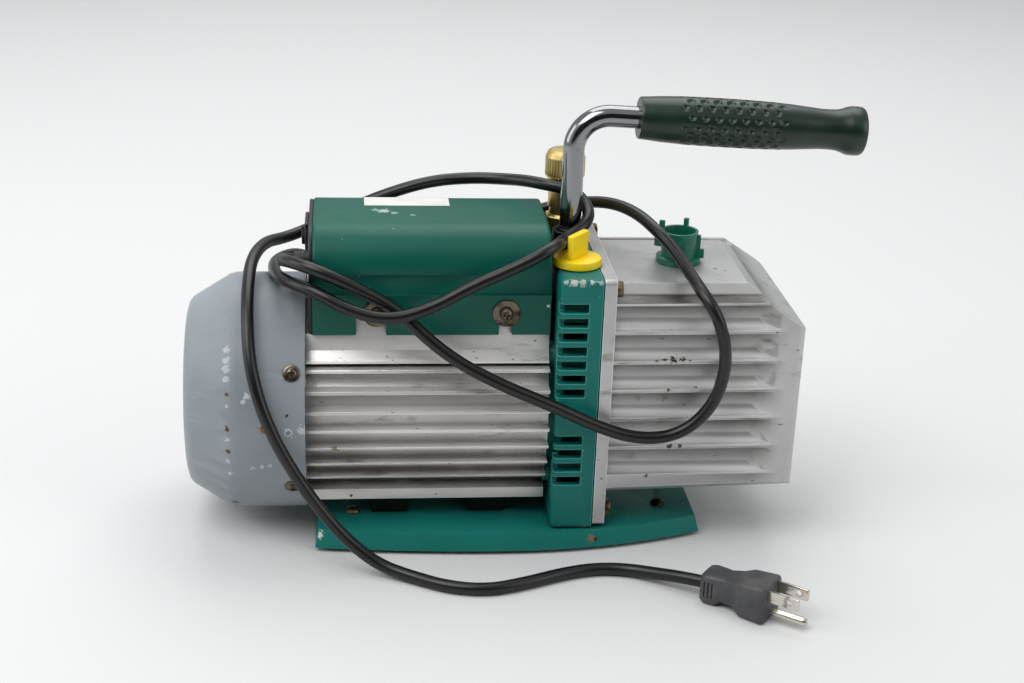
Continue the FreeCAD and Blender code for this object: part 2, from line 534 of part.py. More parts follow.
def case_section(x, draft):
    """Outline of the case before its ribs are cut, drawn in by draft at the front."""
    w, top = CASE_HALF_W - draft, CASE_TOP_Z
    half = [(w - 3, CASE_Z0 + draft), (w, CASE_Z0 + 3 + draft), (w, CASE_CRESTS[0]),
            (w - 7, 142.4), (CASE_TOP_HALF_W + 6, 144.0), (CASE_TOP_HALF_W + 1.5, top)]
    points = half + [(-y, z) for y, z in reversed(half)]
    return Part.makePolygon([V(x, y, z) for y, z in points + points[:1]])


def case_grooves():
    """Cutters that leave each rib with a flat underside and a hollow that sweeps out below."""
    out, wall_y = CASE_HALF_W + 2.0, CASE_HALF_W - 6.0
    cutters = []
    for upper, lower in zip(CASE_CRESTS, CASE_CRESTS[1:]):
        a = V(0, -out, upper - 1.0)
        b = V(0, -wall_y - 0.4, upper - 1.7)
        c = V(0, -wall_y, lower + 7.0)
        sweep = Part.Arc(c, V(0, -wall_y - 1.7, lower + 3.2), V(0, -CASE_HALF_W, lower + 0.7)).toShape()
        edges = [Part.makeLine(a, b), Part.makeLine(b, c), sweep,
                 Part.makeLine(V(0, -CASE_HALF_W, lower + 0.7), V(0, -out, lower + 0.3)),
                 Part.makeLine(V(0, -out, lower + 0.3), a)]
        groove = Part.Face(Part.Wire(Part.__sortEdges__(edges))).extrude(V(200, 0, 0))
        cutters += [groove, groove.mirror(V(0, 0, 0), V(0, 1, 0))]
    reach = [(FLANGE_X1, 0), (120, 0), (120, wall_y - 1), (146.5, out + 0.5), (FLANGE_X1, out + 0.5)]
    near = prism_z([(x, -y) for x, y in reach], 0, 200)
    return Part.makeCompound(cutters).common(Part.makeCompound([near, prism_z(reach, 0, 200)]))


SIGHT_Z, SIGHT_R, DRAIN_Z, DRAIN_R = 88.0, 15.0, 46.0, 6.0


def oil_case():
    """Die-cast oil reservoir: bolting flange, ribbed sides and a roof that slopes at the front."""
    flange = round_edges(box(FLANGE_X0, FLANGE_X1, -FLANGE_HALF_W, FLANGE_HALF_W, FLANGE_Z0, FLANGE_Z1), 3.0,
                         lambda e: e.BoundBox.XLength > 1)
    body = Part.makeLoft([case_section(FLANGE_X1 - 1, 0.0), case_section(CASE_X1, 2.0)], True)
    slope = Part.Face(Part.makePolygon([V(119, -80, CASE_TOP_Z), V(CASE_X1 + 6, -80, 125.5),
                                        V(CASE_X1 + 6, -80, 170), V(119, -80, 170),
                                        V(119, -80, CASE_TOP_Z)])).extrude(V(0, 160, 0))
    body = round_edges(body.cut(slope), 4.0, lambda e: e.BoundBox.XMin > CASE_X1 - 0.1 and e.BoundBox.ZLength > 60)
    body = body.cut(case_grooves())
    cavity = [prism_x([(-48, 38.5), (48, 38.5), (48, 138), (32, 141), (32, 145), (-32, 145), (-32, 141),
                       (-48, 138)], FLANGE_X0 - 1, 118),
              box(117, CASE_X1 - 4.5, -48, 48, 40, 122), prism_x([(-47, 38.5), (47, 38.5), (47, 142), (-47, 142)],
                                                              FLANGE_X0 - 1, FLANGE_X1 + 1)]
    holes = [rod_x(30, 60, 3.3, s * CASE_BOLT_Y, z) for z in CASE_BOLT_ZS for s in (-1, 1)]
    holes += [rod_z(140, 160, 9.05, EXHAUST_X, 0), rod_x(140, 160, SIGHT_R - 2, 0, SIGHT_Z),
              rod_x(140, 160, DRAIN_R + 0.08, 0, DRAIN_Z)]
    boss = [rod_x(CASE_X1 - 6, CASE_X1 + 1.5, SIGHT_R + 4, 0, SIGHT_Z),
            rod_x(CASE_X1 - 8, CASE_X1 + 1.5, DRAIN_R + 4, 0, DRAIN_Z)]
    return cut(fuse([cut(body, cavity[:2]), cut(flange, [cavity[2]])] + boss), holes)


def case_bolts():
    bolts = []
    for z in CASE_BOLT_ZS:
        for s in (-1, 1):
            y = s * CASE_BOLT_Y
            head = prism_x(hex_points(9.0, y, z), FLANGE_X1, FLANGE_X1 + 4.2)
            bolts.append(fuse([head, rod_x(23, FLANGE_X1 + 1, 3.0, y, z)]))
    return bolts


def sight_glass():
    return rod_x(CASE_X1 + 1.6, CASE_X1 + 4.4, SIGHT_R, 0, SIGHT_Z)


def sight_bezel():
    x = CASE_X1 + 1.5
    return turned_x([(x, SIGHT_R + 0.1), (x + 3, SIGHT_R + 0.1), (x + 3, SIGHT_R - 2), (x + 4.5, SIGHT_R - 1),
                     (x + 4.5, SIGHT_R + 2), (x + 3, SIGHT_R + 3.5), (x, SIGHT_R + 3.5)], 0, SIGHT_Z)


def drain_plug():
    x = CASE_X1 + 1.5
    head = prism_x(hex_points(14.0, 0, DRAIN_Z), x + 1.2, x + 7.0)
    return fuse([head, rod_x(x + 0.1, x + 1.5, 9.0, 0, DRAIN_Z), rod_x(x - 8, x + 1, DRAIN_R, 0, DRAIN_Z)])


def exhaust_port():
    """Moulded open cup with a base ring and the hooks that a cap would clip to."""
    x, y, z = EXHAUST_X, 0, CASE_TOP_Z
    cup = turned_z([(7.2, z - 8), (9.0, z - 8), (9.0, z), (12.4, z), (12.4, z + 3.2), (9.6, z + 3.6),
                    (10.4, z + 18), (8.9, z + 18), (8.2, z + 3), (7.2, z + 1)], x, y)
    hooks = []
    for angle, low, high in ((60, 7, 22), (150, 7, 22), (-15, 3, 16), (-100, 3, 14)):
        hook = box(9.2, 12.0, -1.2, 1.2, z + low, z + high)
        hook = hook.fuse(box(11.0, 14.2, -1.2, 1.2, z + low, z + low + 5))
        hook.rotate(V(0, 0, 0), V(0, 0, 1), angle)
        hook.translate(V(x, y, 0))
        hooks.append(hook)
    return cut(fuse([cup] + hooks), [rod_z(z - 10, z + 30, 7.2, x, y)])


# ---- valve knob, inlet and handle ----
KNOB_BLADE_AZIMUTH = 52


def ballast_knob():
    """Disc with an upright blade to turn it by."""
    x, y, z = KNOB[0], KNOB[1], BELL_Z1 + 0.3
    disc = round_edges(rod_z(z, z + KNOB_DISC_T, KNOB_R, x, y), 1.0, lambda e: e.BoundBox.ZMin > z + 1)
    blade = box(-8.8, 8.8, -2.3, 2.3, z + KNOB_DISC_T - 1, z + KNOB_DISC_T + 13.0)
    blade = round_edges(blade, 1.4, lambda e: e.BoundBox.ZLength > 5 or (
        e.BoundBox.ZMin > z + KNOB_DISC_T + 12 and e.BoundBox.XLength < 1))
    blade.rotate(V(0, 0, 0), V(0, 0, 1), KNOB_BLADE_AZIMUTH)
    blade.translate(V(x, y, 0))
    return fuse([disc, blade])


def ballast_stem():
    x, y = KNOB
    return rod_z(KNOB_BOSS_Z0 + 6, BELL_Z1 + 0.3, KNOB_STEM_R, x, y)


INLET_TOP_Z = 197.0


def inlet_fitting():
    """Brass flare fitting: hexagon, body, threaded end with a cone and a through bore."""
    x, y = INLET
    hexagon = prism_z(hex_points(19.0, x, y), BELL_Z1, BELL_Z1 + 9)
    body = turned_z([(4.5, 135), (7.0, 135), (7.0, BELL_Z1), (9.0, BELL_Z1 + 9), (9.0, 187), (7.9, 188),
                     (7.9, INLET_TOP_Z - 1), (5.0, INLET_TOP_Z + 2), (4.5, INLET_TOP_Z + 2)], x, y)
    return cut(fuse([hexagon, body]), [rod_z(100, 220, 4.5, x, y)])


CAP_TOP_Z = 205.0


def inlet_cap():
    """Round cap over the inlet's threaded end."""
    x, y = INLET
    low, high = 188.4, CAP_TOP_Z
    return turned_z([(8.3, low), (10.0, low), (11.3, low + 2.5), (11.3, high - 4), (9.5, high - 1),
                     (7.0, high), (0, high), (0, high - 3), (8.3, high - 3)], x, y)


def rod_path():
    """Centre line of the handle: up, round one bend and out along the grip."""
    drop = math.radians(HANDLE_DROOP)
    turn = math.radians(90 + HANDLE_DROOP)
    r, top = ROD_BEND_R, HANDLE_TOP_Z
    start = V(HANDLE_X, 0, HANDLE_BOSS_Z0 + 6)
    bend0 = V(HANDLE_X, 0, top - r)
    centre = V(HANDLE_X + r, 0, top - r)
    mid = V(centre.x - r * math.cos(turn / 2), 0, centre.z + r * math.sin(turn / 2))
    bend1 = V(centre.x - r * math.cos(turn), 0, centre.z + r * math.sin(turn))
    along = V(math.cos(drop), 0, -math.sin(drop))
    return start, bend0, mid, bend1, along


GRIP_START_X, GRIP_LENGTH = 60.0, 125.0


def grip_origin():
    _, _, _, bend1, along = rod_path()
    return bend1 + along * ((GRIP_START_X - bend1.x) / along.x), along


def handle_rod():
    start, bend0, mid, bend1, along = rod_path()
    end = bend1 + along * ((GRIP_START_X - bend1.x) / along.x + GRIP_LENGTH - 8)
    path = Part.Wire([Part.makeLine(start, bend0), Part.Arc(bend0, mid, bend1).toShape(),
                      Part.makeLine(bend1, end)])
    section = Part.Wire(Part.makeCircle(ROD_R, start, V(0, 0, 1)))
    return path.makePipeShell([section], True, False)


def handle_lock_nut():
    nut = prism_z(hex_points(18.0, HANDLE_X, 0), BELL_Z1, BELL_Z1 + 10)
    return cut(nut, [rod_z(150, 175, ROD_R + 0.05, HANDLE_X, 0)])


def handle_grip():
    """Rubber sleeve, fullest in the middle, with a collar and an end flange."""
    origin, along = grip_origin()
    profile = [(0, 11.3), (5, 11.3), (6, 12.2), (24, 13.0), (60, 13.2), (84, 12.4), (102, 11.0),
               (112, 11.3), (116, 13.2), (123, 13.5), (125, 11.8)]
    inner = ROD_R + 0.05
    points = [(0, inner)] + profile + [(125, 0), (GRIP_LENGTH - 7.5, 0), (GRIP_LENGTH - 7.5, inner)]
    wire = Part.makePolygon([V(x, 0, r) for x, r in points + points[:1]])
    grip = Part.Face(wire).revolve(V(0, 0, 0), V(1, 0, 0), 360)
    grip.rotate(V(0, 0, 0), V(0, 1, 0), HANDLE_DROOP)
    grip.translate(origin)
    return grip


# ---- coupling and pump ----
COUPLING_X0, COUPLING_X1, COUPLING_R = 26.3, 38.5, 13.5
PUMP_BOLT_ANGLES, PUMP_BOLT_R = (20, 160, 200, 340), 29.0
PLATE_X0, PLATE_X1 = 39.5, 47.5
CYL_X1, COVER_X1 = 86.0, 94.0
JOURNAL_R = 7.0


def coupling_hubs():
    """Two jaw hubs, one on the motor's shaft and one on the pump's."""
    x0, x1, web = COUPLING_X0, COUPLING_X1, 3.6
    motor = fuse([tube_x(x0, x0 + web, COUPLING_R, 6.0)] +
                 [sector_x(x0 + web - 0.5, x1 - web - 0.3, COUPLING_R, 7.5, a, 44) for a in (0, 180)])
    pump = fuse([tube_x(x1 - web, x1, COUPLING_R, 6.0)] +
                [sector_x(x0 + web + 0.3, x1 - web + 0.5, COUPLING_R, 7.5, a, 44) for a in (90, 270)])
    return [motor, pump]


def coupling_spider():
    """Rubber element between the jaws."""
    x0, x1 = COUPLING_X0 + 3.9, COUPLING_X1 - 3.9
    return fuse([tube_x(x0, x1, 7.3, 3.0)] + [sector_x(x0, x1, 13.2, 6.5, a, 40) for a in (45, 135, 225, 315)])


def pump_back_plate():
    plate = fuse([rod_x(PLATE_X0, PLATE_X1, PUMP_R + 1), rod_x(BELL_X1, PLATE_X0 + 1, PUMP_R)])
    holes = [rod_x(30, 60, JOURNAL_R + 2.0), rod_x(BELL_X1 - 1, PLATE_X0 + 5, COUPLING_R + 1.5)]
    holes += [rod_x(30, 60, 2.6, *about_shaft(a, PUMP_BOLT_R)) for a in PUMP_BOLT_ANGLES]
    return cut(plate, holes)


def shaft_seal():
    return tube_x(PLATE_X0 + 3.1, PLATE_X0 + 5.0, COUPLING_R + 1.45, JOURNAL_R + 0.08)


def pump_bushings():
    """Bronze sleeves that carry the pump's rotor in the back plate and the end cover."""
    return [tube_x(PLATE_X0 + 5.0, PLATE_X1, JOURNAL_R + 2.0, JOURNAL_R + 0.05),
            tube_x(CYL_X1, COVER_X1, JOURNAL_R + 2.0, JOURNAL_R + 0.05)]


def pump_cylinder():
    """Block with the eccentric bore, the suction and exhaust ports and the valve's seat."""
    block = rod_x(PLATE_X1, CYL_X1, PUMP_R)
    seat = box(PLATE_X1 - 1, CYL_X1 + 1, -40, 40, SHAFT_Z + 30, SHAFT_Z + 40)
    holes = [seat, rod_x(0, 200, BORE_R, 0, BORE_Z)]
    holes += [rod_x(30, 100, 2.6, *about_shaft(a, PUMP_BOLT_R)) for a in PUMP_BOLT_ANGLES]
    holes += [rod_z(BORE_Z, SHAFT_Z + 40, 2.0, x, -8.0) for x in (58.0, 67.0, 76.0)]
    holes += [rod_y(0, 50, 4.0, 66.0, BORE_Z + 4)]
    holes += [rod_z(SHAFT_Z + 27.5, SHAFT_Z + 40, 1.3, x, 9.0) for x in (60.0, 74.0)]
    return cut(block, holes)


def pump_end_cover():
    holes = [rod_x(0, 200, JOURNAL_R + 2.0)]
    holes += [rod_x(30, 100, 2.6, *about_shaft(a, PUMP_BOLT_R)) for a in PUMP_BOLT_ANGLES]
    return cut(rod_x(CYL_X1, COVER_X1, PUMP_R), holes)


SLOT_W, SLOT_FLOOR = 4.2, 6.6
SPRING_XS = (57.0, 76.5)


def pump_rotor():
    """Slotted rotor in one piece with its two journals."""
    body = [rod_x(PLATE_X1 + 0.3, CYL_X1 - 0.3, ROTOR_R), rod_x(COUPLING_X1 + 0.2, COVER_X1 - 1, JOURNAL_R),
            rod_x(COUPLING_X1 - 3.6, COUPLING_X1 + 1, 6.0)]
    slots = [box(PLATE_X1, CYL_X1, *sorted((s * SLOT_FLOOR, s * 30)), SHAFT_Z - SLOT_W / 2, SHAFT_Z + SLOT_W / 2)
             for s in (-1, 1)]
    wells = [rod_y(-9, 9, 1.6, x, SHAFT_Z) for x in SPRING_XS]
    return cut(fuse(body), slots + wells)


def vane(side):
    """A vane held in at the depth where it passes the narrow side of the bore."""
    half = SLOT_W / 2 - 0.05
    return box(PLATE_X1 + 0.4, CYL_X1 - 0.4, *sorted((side * 9.3, side * (ROTOR_R - 0.3))),
               SHAFT_Z - half, SHAFT_Z + half)


def vane_near():
    return vane(-1)


def vane_far():
    return vane(1)


def vane_springs():
    """Coil springs through the rotor that push both vanes outwards."""
    springs = []
    for x in SPRING_XS:
        radius, wire_r, length = 1.1, 0.3, 17.6
        helix = Part.makeHelix(2.2, length, radius)
        section = Part.Wire(Part.makeCircle(wire_r, V(radius, 0, 0), V(0, 1, 0)))
        spring = Part.Wire(helix.Edges).makePipeShell([section], True, True)
        spring.rotate(V(0, 0, 0), V(1, 0, 0), -90)
        spring.translate(V(x, -length / 2, SHAFT_Z))
        springs.append(spring)
    return springs


def pump_bolts():
    bolts = []
    for angle in PUMP_BOLT_ANGLES:
        y, z = about_shaft(angle, PUMP_BOLT_R)
        bolts.append(fuse([rod_x(COVER_X1, COVER_X1 + 5, 4.2, y, z), rod_x(30, COVER_X1 + 1, 2.5, y, z)]))
    return bolts


REED_Z = SHAFT_Z + 30.0
REED_T = 0.4


def valve_reed():
    """Thin steel strip that covers the exhaust ports and lifts at its free edge."""
    return box(54, 80, -13, 5.0, REED_Z + 0.05, REED_Z + 0.05 + REED_T)


def valve_stop():
    """Bent stop over the reed, with the screws that hold both."""
    low, t = REED_Z + 1.0, 1.5
    plate = prism_x([(6, REED_Z), (13, REED_Z), (13, low + t), (5, low + t), (-13, low + t + 5),
                     (-13, low + 5), (5, low), (6, low)], 54, 80)
    screws = [fuse([rod_z(low + t, low + t + 2, 2.2, x, 9.0), rod_z(REED_Z - 2, low + t + 1, 1.2, x, 9.0)])
              for x in (60.0, 74.0)]
    return fuse([plate] + screws)


def exhaust_baffle():
    """Bent plate under the exhaust port that knocks oil drops out of the air."""
    plate = prism_x([(-47.5, 128), (-30, 128), (-20, 133), (20, 133), (30, 128), (47.5, 128), (47.5, 129.2),
                     (30, 129.2), (20, 134.2), (-20, 134.2), (-30, 129.2), (-47.5, 129.2)], 60, 112)
    holes = [rod_z(120, 140, 2.0, x, y) for x in (70, 100) for y in (-38, 38)]
    return cut(plate, holes)


# ---- cord and plug ----
def cord_frame(points):
    """Straight runs joined by tangent arcs, each as large as its two runs allow."""
    pts = [V(*p) for p in points]
    edges, radii, here = [], [], pts[0]
    for a, b, c in zip(pts, pts[1:], pts[2:]):
        u, w = (b - a).normalize(), (c - b).normalize()
        turn = u.getAngle(w)
        trim = 0.45 * min((b - a).Length, (c - b).Length)
        radius = trim / math.tan(turn / 2)
        radii.append(radius)
        start, end = b - u * trim, b + w * trim
        centre = b + (w - u).normalize() * (radius / math.cos(turn / 2))
        middle = centre + (b - centre).normalize() * radius
        edges += [Part.LineSegment(here, start).toShape(), Part.Arc(start, middle, end).toShape()]
        here = end
    edges.append(Part.LineSegment(here, pts[-1]).toShape())
    return Part.Wire(edges), radii


def power_cord():
    path, radii = cord_frame(CORD_ROUTE)
    start, toward = V(*CORD_ROUTE[0]), V(*CORD_ROUTE[1]) - V(*CORD_ROUTE[0])
    section = Part.Wire(Part.makeCircle(CORD_D / 2, start, toward))
    tube = path.makePipeShell([section], True, True)
    expected = path.Length * math.pi * CORD_D ** 2 / 4
    print("cord length %.0f mm, volume %.0f of %.0f" % (path.Length, tube.Volume, expected))
    print("cord radii", [round(r, 1) for r in radii])
    return tube


PLUG_LENGTH, PLUG_AXIS_Z = 38.0, 8.5
BLADE_GAP, BLADE_W, BLADE_T, BLADE_L, PIN_R, PIN_DROP = 12.7, 6.35, 1.5, 17.5, 2.4, 11.9


def place_plug(shape):
    """From the plug's own frame, cord end at the origin and blades along +X, to the floor."""
    shape.rotate(V(0, 0, 0), V(0, 0, 1), PLUG_YAW)
    shape.translate(V(*CORD_ROUTE[-1]))
    return shape


BLADE_UP = 7.6               # height of the blades' middle above the cord's axis


def plug_body():
    """Moulded grounding plug: collar, waist and a face that is deeper at the ground pin."""
    def ring(x, half_y, low, high):
        corners = [(-half_y, low), (half_y, low), (half_y, high), (-half_y, high)]
        return Part.makePolygon([V(x, y, z) for y, z in corners + corners[:1]])

    stations = [(0, 7.0, -8.0, 8.0), (4, 8.4, -8.4, 8.6), (9, 8.0, -8.0, 8.6), (13, 7.2, -5.5, 8.8),
                (20, 8.6, -5.8, 10.5), (25, 10.6, -8.2, 12.0), (PLUG_LENGTH - 1, 11.2, -8.4, 12.6),
                (PLUG_LENGTH, 10.6, -8.0, 12.0)]
    body = Part.makeLoft([ring(x, w, low, high) for x, w, low, high in stations], True, True)
    body = cut(body, [Part.makeCylinder(CORD_D / 2 + 0.02, 2.0, V(-1.0, 0, 0), V(1, 0, 0))])
    return place_plug(body)


def plug_contacts():
    """Two flat blades with holes and a round ground pin."""
    contacts = []
    for s in (-1, 1):
        blade = box(PLUG_LENGTH, PLUG_LENGTH + BLADE_L, s * BLADE_GAP / 2 - BLADE_T / 2,
                    s * BLADE_GAP / 2 + BLADE_T / 2, BLADE_UP - BLADE_W / 2, BLADE_UP + BLADE_W / 2)
        contacts.append(blade.cut(rod_y(-20, 20, 1.6, PLUG_LENGTH + 12, BLADE_UP)))
    pin_z = BLADE_UP - PIN_DROP
    pin = Part.makeCylinder(PIN_R, BLADE_L + 1.0, V(PLUG_LENGTH, 0, pin_z), V(1, 0, 0))
    tip = Part.makeSphere(PIN_R, V(PLUG_LENGTH + BLADE_L + 1.0, 0, pin_z))
    contacts.append(fuse([pin, tip]))
    return [place_plug(c) for c in contacts]


NODES = [base_plate, rubber_feet, base_screws, motor_frame, stator_core, stator_windings,
         motor_shaft, rotor_core, rotor_end_rings, bearing_outer_races, bearing_inner_races,
         bearing_cages, rear_bracket, tie_bolts, fan_cover, fan_cover_screws, cooling_fan,
         box_cover, box_end_plates, switch_bezel, rocker_switch, cord_gland, box_screws,
         box_washers, capacitor, terminal_block, blank_label, end_bell, case_gasket, oil_case,
         case_bolts, sight_glass, sight_bezel, drain_plug, exhaust_port, ballast_knob,
         ballast_stem, inlet_fitting, inlet_cap, handle_rod, handle_lock_nut, handle_grip,
         coupling_hubs, coupling_spider, pump_back_plate, shaft_seal, pump_bushings,
         pump_cylinder, pump_end_cover, pump_rotor, vane_near, vane_far, vane_springs, pump_bolts,
         valve_reed, valve_stop, exhaust_baffle, power_cord, plug_body, plug_contacts]

os.makedirs("parts", exist_ok=True)
for make in NODES:
    made = make()
    shape = Part.makeCompound(made) if isinstance(made, list) else made
    if not shape.isValid():
        print("NOT VALID:", make.__name__)
    shape.exportStep("parts/%s.step" % make.__name__)
print(len(NODES), "nodes")
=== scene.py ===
import json
import math

import bpy
from mathutils import Matrix, Vector


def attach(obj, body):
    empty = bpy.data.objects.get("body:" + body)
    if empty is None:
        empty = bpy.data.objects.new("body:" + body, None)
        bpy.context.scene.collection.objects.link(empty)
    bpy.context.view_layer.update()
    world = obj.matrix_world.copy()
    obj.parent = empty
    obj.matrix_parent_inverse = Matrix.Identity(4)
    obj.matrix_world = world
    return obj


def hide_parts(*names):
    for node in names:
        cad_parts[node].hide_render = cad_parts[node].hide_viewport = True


bl_info = {
    "name": "Vane pump",
    "version": (1, 0, 0),
    "blender": (4, 5, 0),
    "location": "View3D > Sidebar > Vane pump",
    "description": "Builds a portable rotary vane vacuum pump round its CAD frame",
    "category": "Object",
}

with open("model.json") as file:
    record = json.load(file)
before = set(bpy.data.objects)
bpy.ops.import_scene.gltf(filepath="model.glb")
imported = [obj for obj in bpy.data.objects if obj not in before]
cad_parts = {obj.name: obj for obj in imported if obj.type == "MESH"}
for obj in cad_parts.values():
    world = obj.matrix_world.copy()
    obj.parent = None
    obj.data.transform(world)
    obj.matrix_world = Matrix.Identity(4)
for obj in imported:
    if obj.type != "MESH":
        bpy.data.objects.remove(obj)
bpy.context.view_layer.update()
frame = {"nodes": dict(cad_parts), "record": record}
NODES = frame["nodes"]
BODY_OF = {node: body for body, held in frame["record"]["behaviour"]["bodies"].items() for node in held}
SLOT_OF = {part["node"]: part["material_slot"] for part in frame["record"]["subparts"]}
MM = 0.001

# ---- the pump's own sizes, in millimetres ----
SHAFT_Z = 73.0
HANDLE_X, ROD_R, HANDLE_TOP_Z, ROD_BEND_R, HANDLE_DROOP = 25.3, 6.0, 232.0, 19.0, 3.0
GRIP_START_X = 60.0
KNOB_X, KNOB_Y = 25.7, -31.5
INLET_X, INLET_Y = 25.3, 31.5
BELL_TOP_Z = 158.0
PLUG_YAW, PLUG_LENGTH, BLADE_UP = -38.0, 38.0, 7.6
BOX_ENDS = (-116.0, 11.0)
CORD_D = 6.8

# ---- the stage: degrees and millimetres, lens and sensor width alike in mm ----
CAMERA_YAW, CAMERA_PITCH, CAMERA_ROLL = 6.133, 21.617, 2.068
CAMERA_AT, LENS, SENSOR = (-99.23, -880.14, 451.71), 59.10, 36.0

# The cord's line from the gland to the plug: round the front of the box, across the motor and the bell,
# over the oil case, behind the handle, round the rear of the box, round the handle, back along the far
# side, down past the fan cover and along the floor.
CORD_ROUTE = [
    (-126, -8, 152.5), (-132, -10, 153.5), (-132.5, -23, 157.5), (-127, -39, 162), (-114, -50.5, 161.5),
    (-96, -51, 153), (-73, -50, 140.5), (-46, -60, 117), (-17, -66, 102.5), (10, -66.5, 91),
    (37, -66.5, 77.5), (58, -66.5, 70.5), (80, -66.5, 72), (97, -66.5, 87), (103.5, -66.5, 108),
    (102, -66.5, 127), (96, -65.5, 142.8), (89.8, -56.5, 151.3), (86, -38, 155.8), (80.5, -20, 163),
    (72.5, -6, 169.5), (65.5, 11, 173), (56.5, 28, 173.5), (45.5, 41, 171.5), (30, 50, 167),
    (13, 54.5, 162.5), (-5, 56, 148), (-22, 55.5, 130.5), (-43, 53, 118), (-68, 51.5, 114.5),
    (-92, 53.5, 119), (-113, 58, 129), (-127, 52, 136.5), (-137, 37, 137.5), (-138.5, 14, 141),
    (-135.5, -14, 145.5), (-128, -38, 150), (-114, -52, 150), (-97, -58, 141.5), (-76, -61, 137),
    (-54, -58, 142.5), (-33, -53.5, 153), (-14, -50.5, 160.5), (0, -49, 167), (9.4, -45.4, 171.4),
    (15.4, -37.5, 172), (16.2, -28, 169), (20.3, -18.5, 167.8), (26.2, -14, 170.2),
    (31.8, -9.5, 173.1), (34.8, -3.8, 175.8), (35.3, 2.2, 178.3), (33.6, 8, 181.4), (29.2, 12.8, 185),
    (22.4, 15.6, 186.9), (13, 19.5, 187.7), (3, 31, 186.5), (-8, 41.5, 184.3), (-25, 48.5, 183),
    (-50, 50, 180.5), (-78, 50, 171.5), (-101, 52.5, 160), (-119, 52, 151), (-133, 42, 148.5),
    (-143.5, 24, 152), (-149.5, 0, 150.5), (-150.5, -26, 144), (-150, -47, 131), (-148.5, -61, 114),
    (-143.5, -70, 95), (-136, -74, 76), (-126, -76, 57), (-113, -78, 37), (-98, -81, 19),
    (-81, -86, 6.5), (-63, -94, 3.5), (-45, -105, 3.5), (-24, -109, 3.5), (-3, -102, 3.5),
    (17, -93, 3.5), (36, -88, 3.5), (53, -90, 3.8), (67, -98, 5.5), (80, -107, 8), (91, -113.5, 8.5)]


def shade(code):
    """An sRGB hex colour as linear red, green, blue and alpha."""
    parts = [int(code[i:i + 2], 16) / 255 for i in (1, 3, 5)]
    return tuple(c / 12.92 if c <= 0.04045 else ((c + 0.055) / 1.055) ** 2.4 for c in parts) + (1.0,)


def darker(colour, share):
    """The same colour with only a share of its light."""
    return tuple(c * share for c in colour[:3]) + (1.0,)


def colour_property(name, description, code):
    return bpy.props.FloatVectorProperty(name=name, description=description, subtype="COLOR", size=4,
                                         min=0.0, max=1.0, default=shade(code))


class PumpSizes(bpy.types.PropertyGroup):
    """Sizes that a user may change."""
    casting_edge: bpy.props.FloatProperty(
        name="Casting edge", description="Rounding of the cast pieces' edges", default=0.9 * MM,
        min=0.0, max=2 * MM, unit="LENGTH", precision=5)
    sheet_edge: bpy.props.FloatProperty(
        name="Sheet edge", description="Rounding of the pressed sheet pieces' edges", default=0.35 * MM,
        min=0.0, max=1 * MM, unit="LENGTH", precision=5)
    round_sides: bpy.props.IntProperty(
        name="Round sides", description="Sides that a turned piece is drawn with", default=64, min=24,
        max=128)
    dimple_pitch: bpy.props.FloatProperty(
        name="Dimple pitch", description="Spacing of the grip's dimples", default=7.3 * MM,
        min=6.5 * MM, max=9 * MM, unit="LENGTH", precision=5)


class PumpColours(bpy.types.PropertyGroup):
    """Colours that a user may change."""
    fan: colour_property("Fan cover", "Blue-grey enamel of the fan cover", "#949ba1")
    bell: colour_property("Bell", "Teal enamel of the bell", "#107069")
    base: colour_property("Base", "Teal enamel of the base tray", "#15786f")
    box: colour_property("Box", "Green enamel of the electrical box", "#07594b")
    knob: colour_property("Knob", "Yellow of the ballast knob", "#ffdf10")
    grip: colour_property("Grip", "Green rubber of the grip", "#0c2417")
    floor: colour_property("Floor", "Paper floor and backdrop", "#dcdcdc")


# ---- modelling helpers ----
def deselect():
    if bpy.context.object and bpy.context.object.mode != "OBJECT":
        bpy.ops.object.mode_set(mode="OBJECT")
    bpy.ops.object.select_all(action="DESELECT")


def pick(*objects):
    """Selects just these, the first of them active."""
    deselect()
    for obj in objects:
        obj.select_set(True)
    bpy.context.view_layer.objects.active = objects[0]
    return objects[0]


def edit(obj, mode="FACE"):
    pick(obj)
    bpy.ops.object.mode_set(mode="EDIT")
    bpy.ops.mesh.select_mode(type=mode)
    bpy.ops.mesh.select_all(action="DESELECT")


def choose_faces(obj, test):
    """Selects the faces whose centre and normal pass test, and returns to edit mode."""
    bpy.ops.object.mode_set(mode="OBJECT")
    for face in obj.data.polygons:
        face.select = bool(test(face.center / MM, face.normal))
    bpy.ops.object.mode_set(mode="EDIT")


def choose_edges(obj, test):
    """Selects the edges whose two ends pass test, and returns to edit mode."""
    bpy.ops.object.mode_set(mode="OBJECT")
    points = obj.data.vertices
    for item in list(obj.data.vertices) + list(obj.data.polygons):
        item.select = False
    for line in obj.data.edges:
        line.select = bool(test(points[line.vertices[0]].co / MM, points[line.vertices[1]].co / MM))
    bpy.ops.object.mode_set(mode="EDIT")


def apply_modifier(obj, kind, **settings):
    pick(obj)
    made = obj.modifiers.new(kind.title(), kind)
    for key, value in settings.items():
        setattr(made, key, value)
    bpy.ops.object.modifier_apply(modifier=made.name)
    return obj


def round_edges(obj, width, segments=2, angle=30.0):
    return apply_modifier(obj, "BEVEL", width=width, segments=segments, limit_method="ANGLE",
                          angle_limit=math.radians(angle), miter_outer="MITER_ARC",
                          use_clamp_overlap=True, harden_normals=False)


def cut_with(obj, *cutters):
    """Takes the cutters out of obj, and removes them."""
    for cutter in cutters:
        apply_modifier(obj, "BOOLEAN", operation="DIFFERENCE", object=cutter, solver="EXACT")
        pick(cutter)
        bpy.ops.object.delete()
    return pick(obj)


def join(name, *objects):
    pick(*objects)
    bpy.ops.object.join()
    objects[0].name = name
    return objects[0]


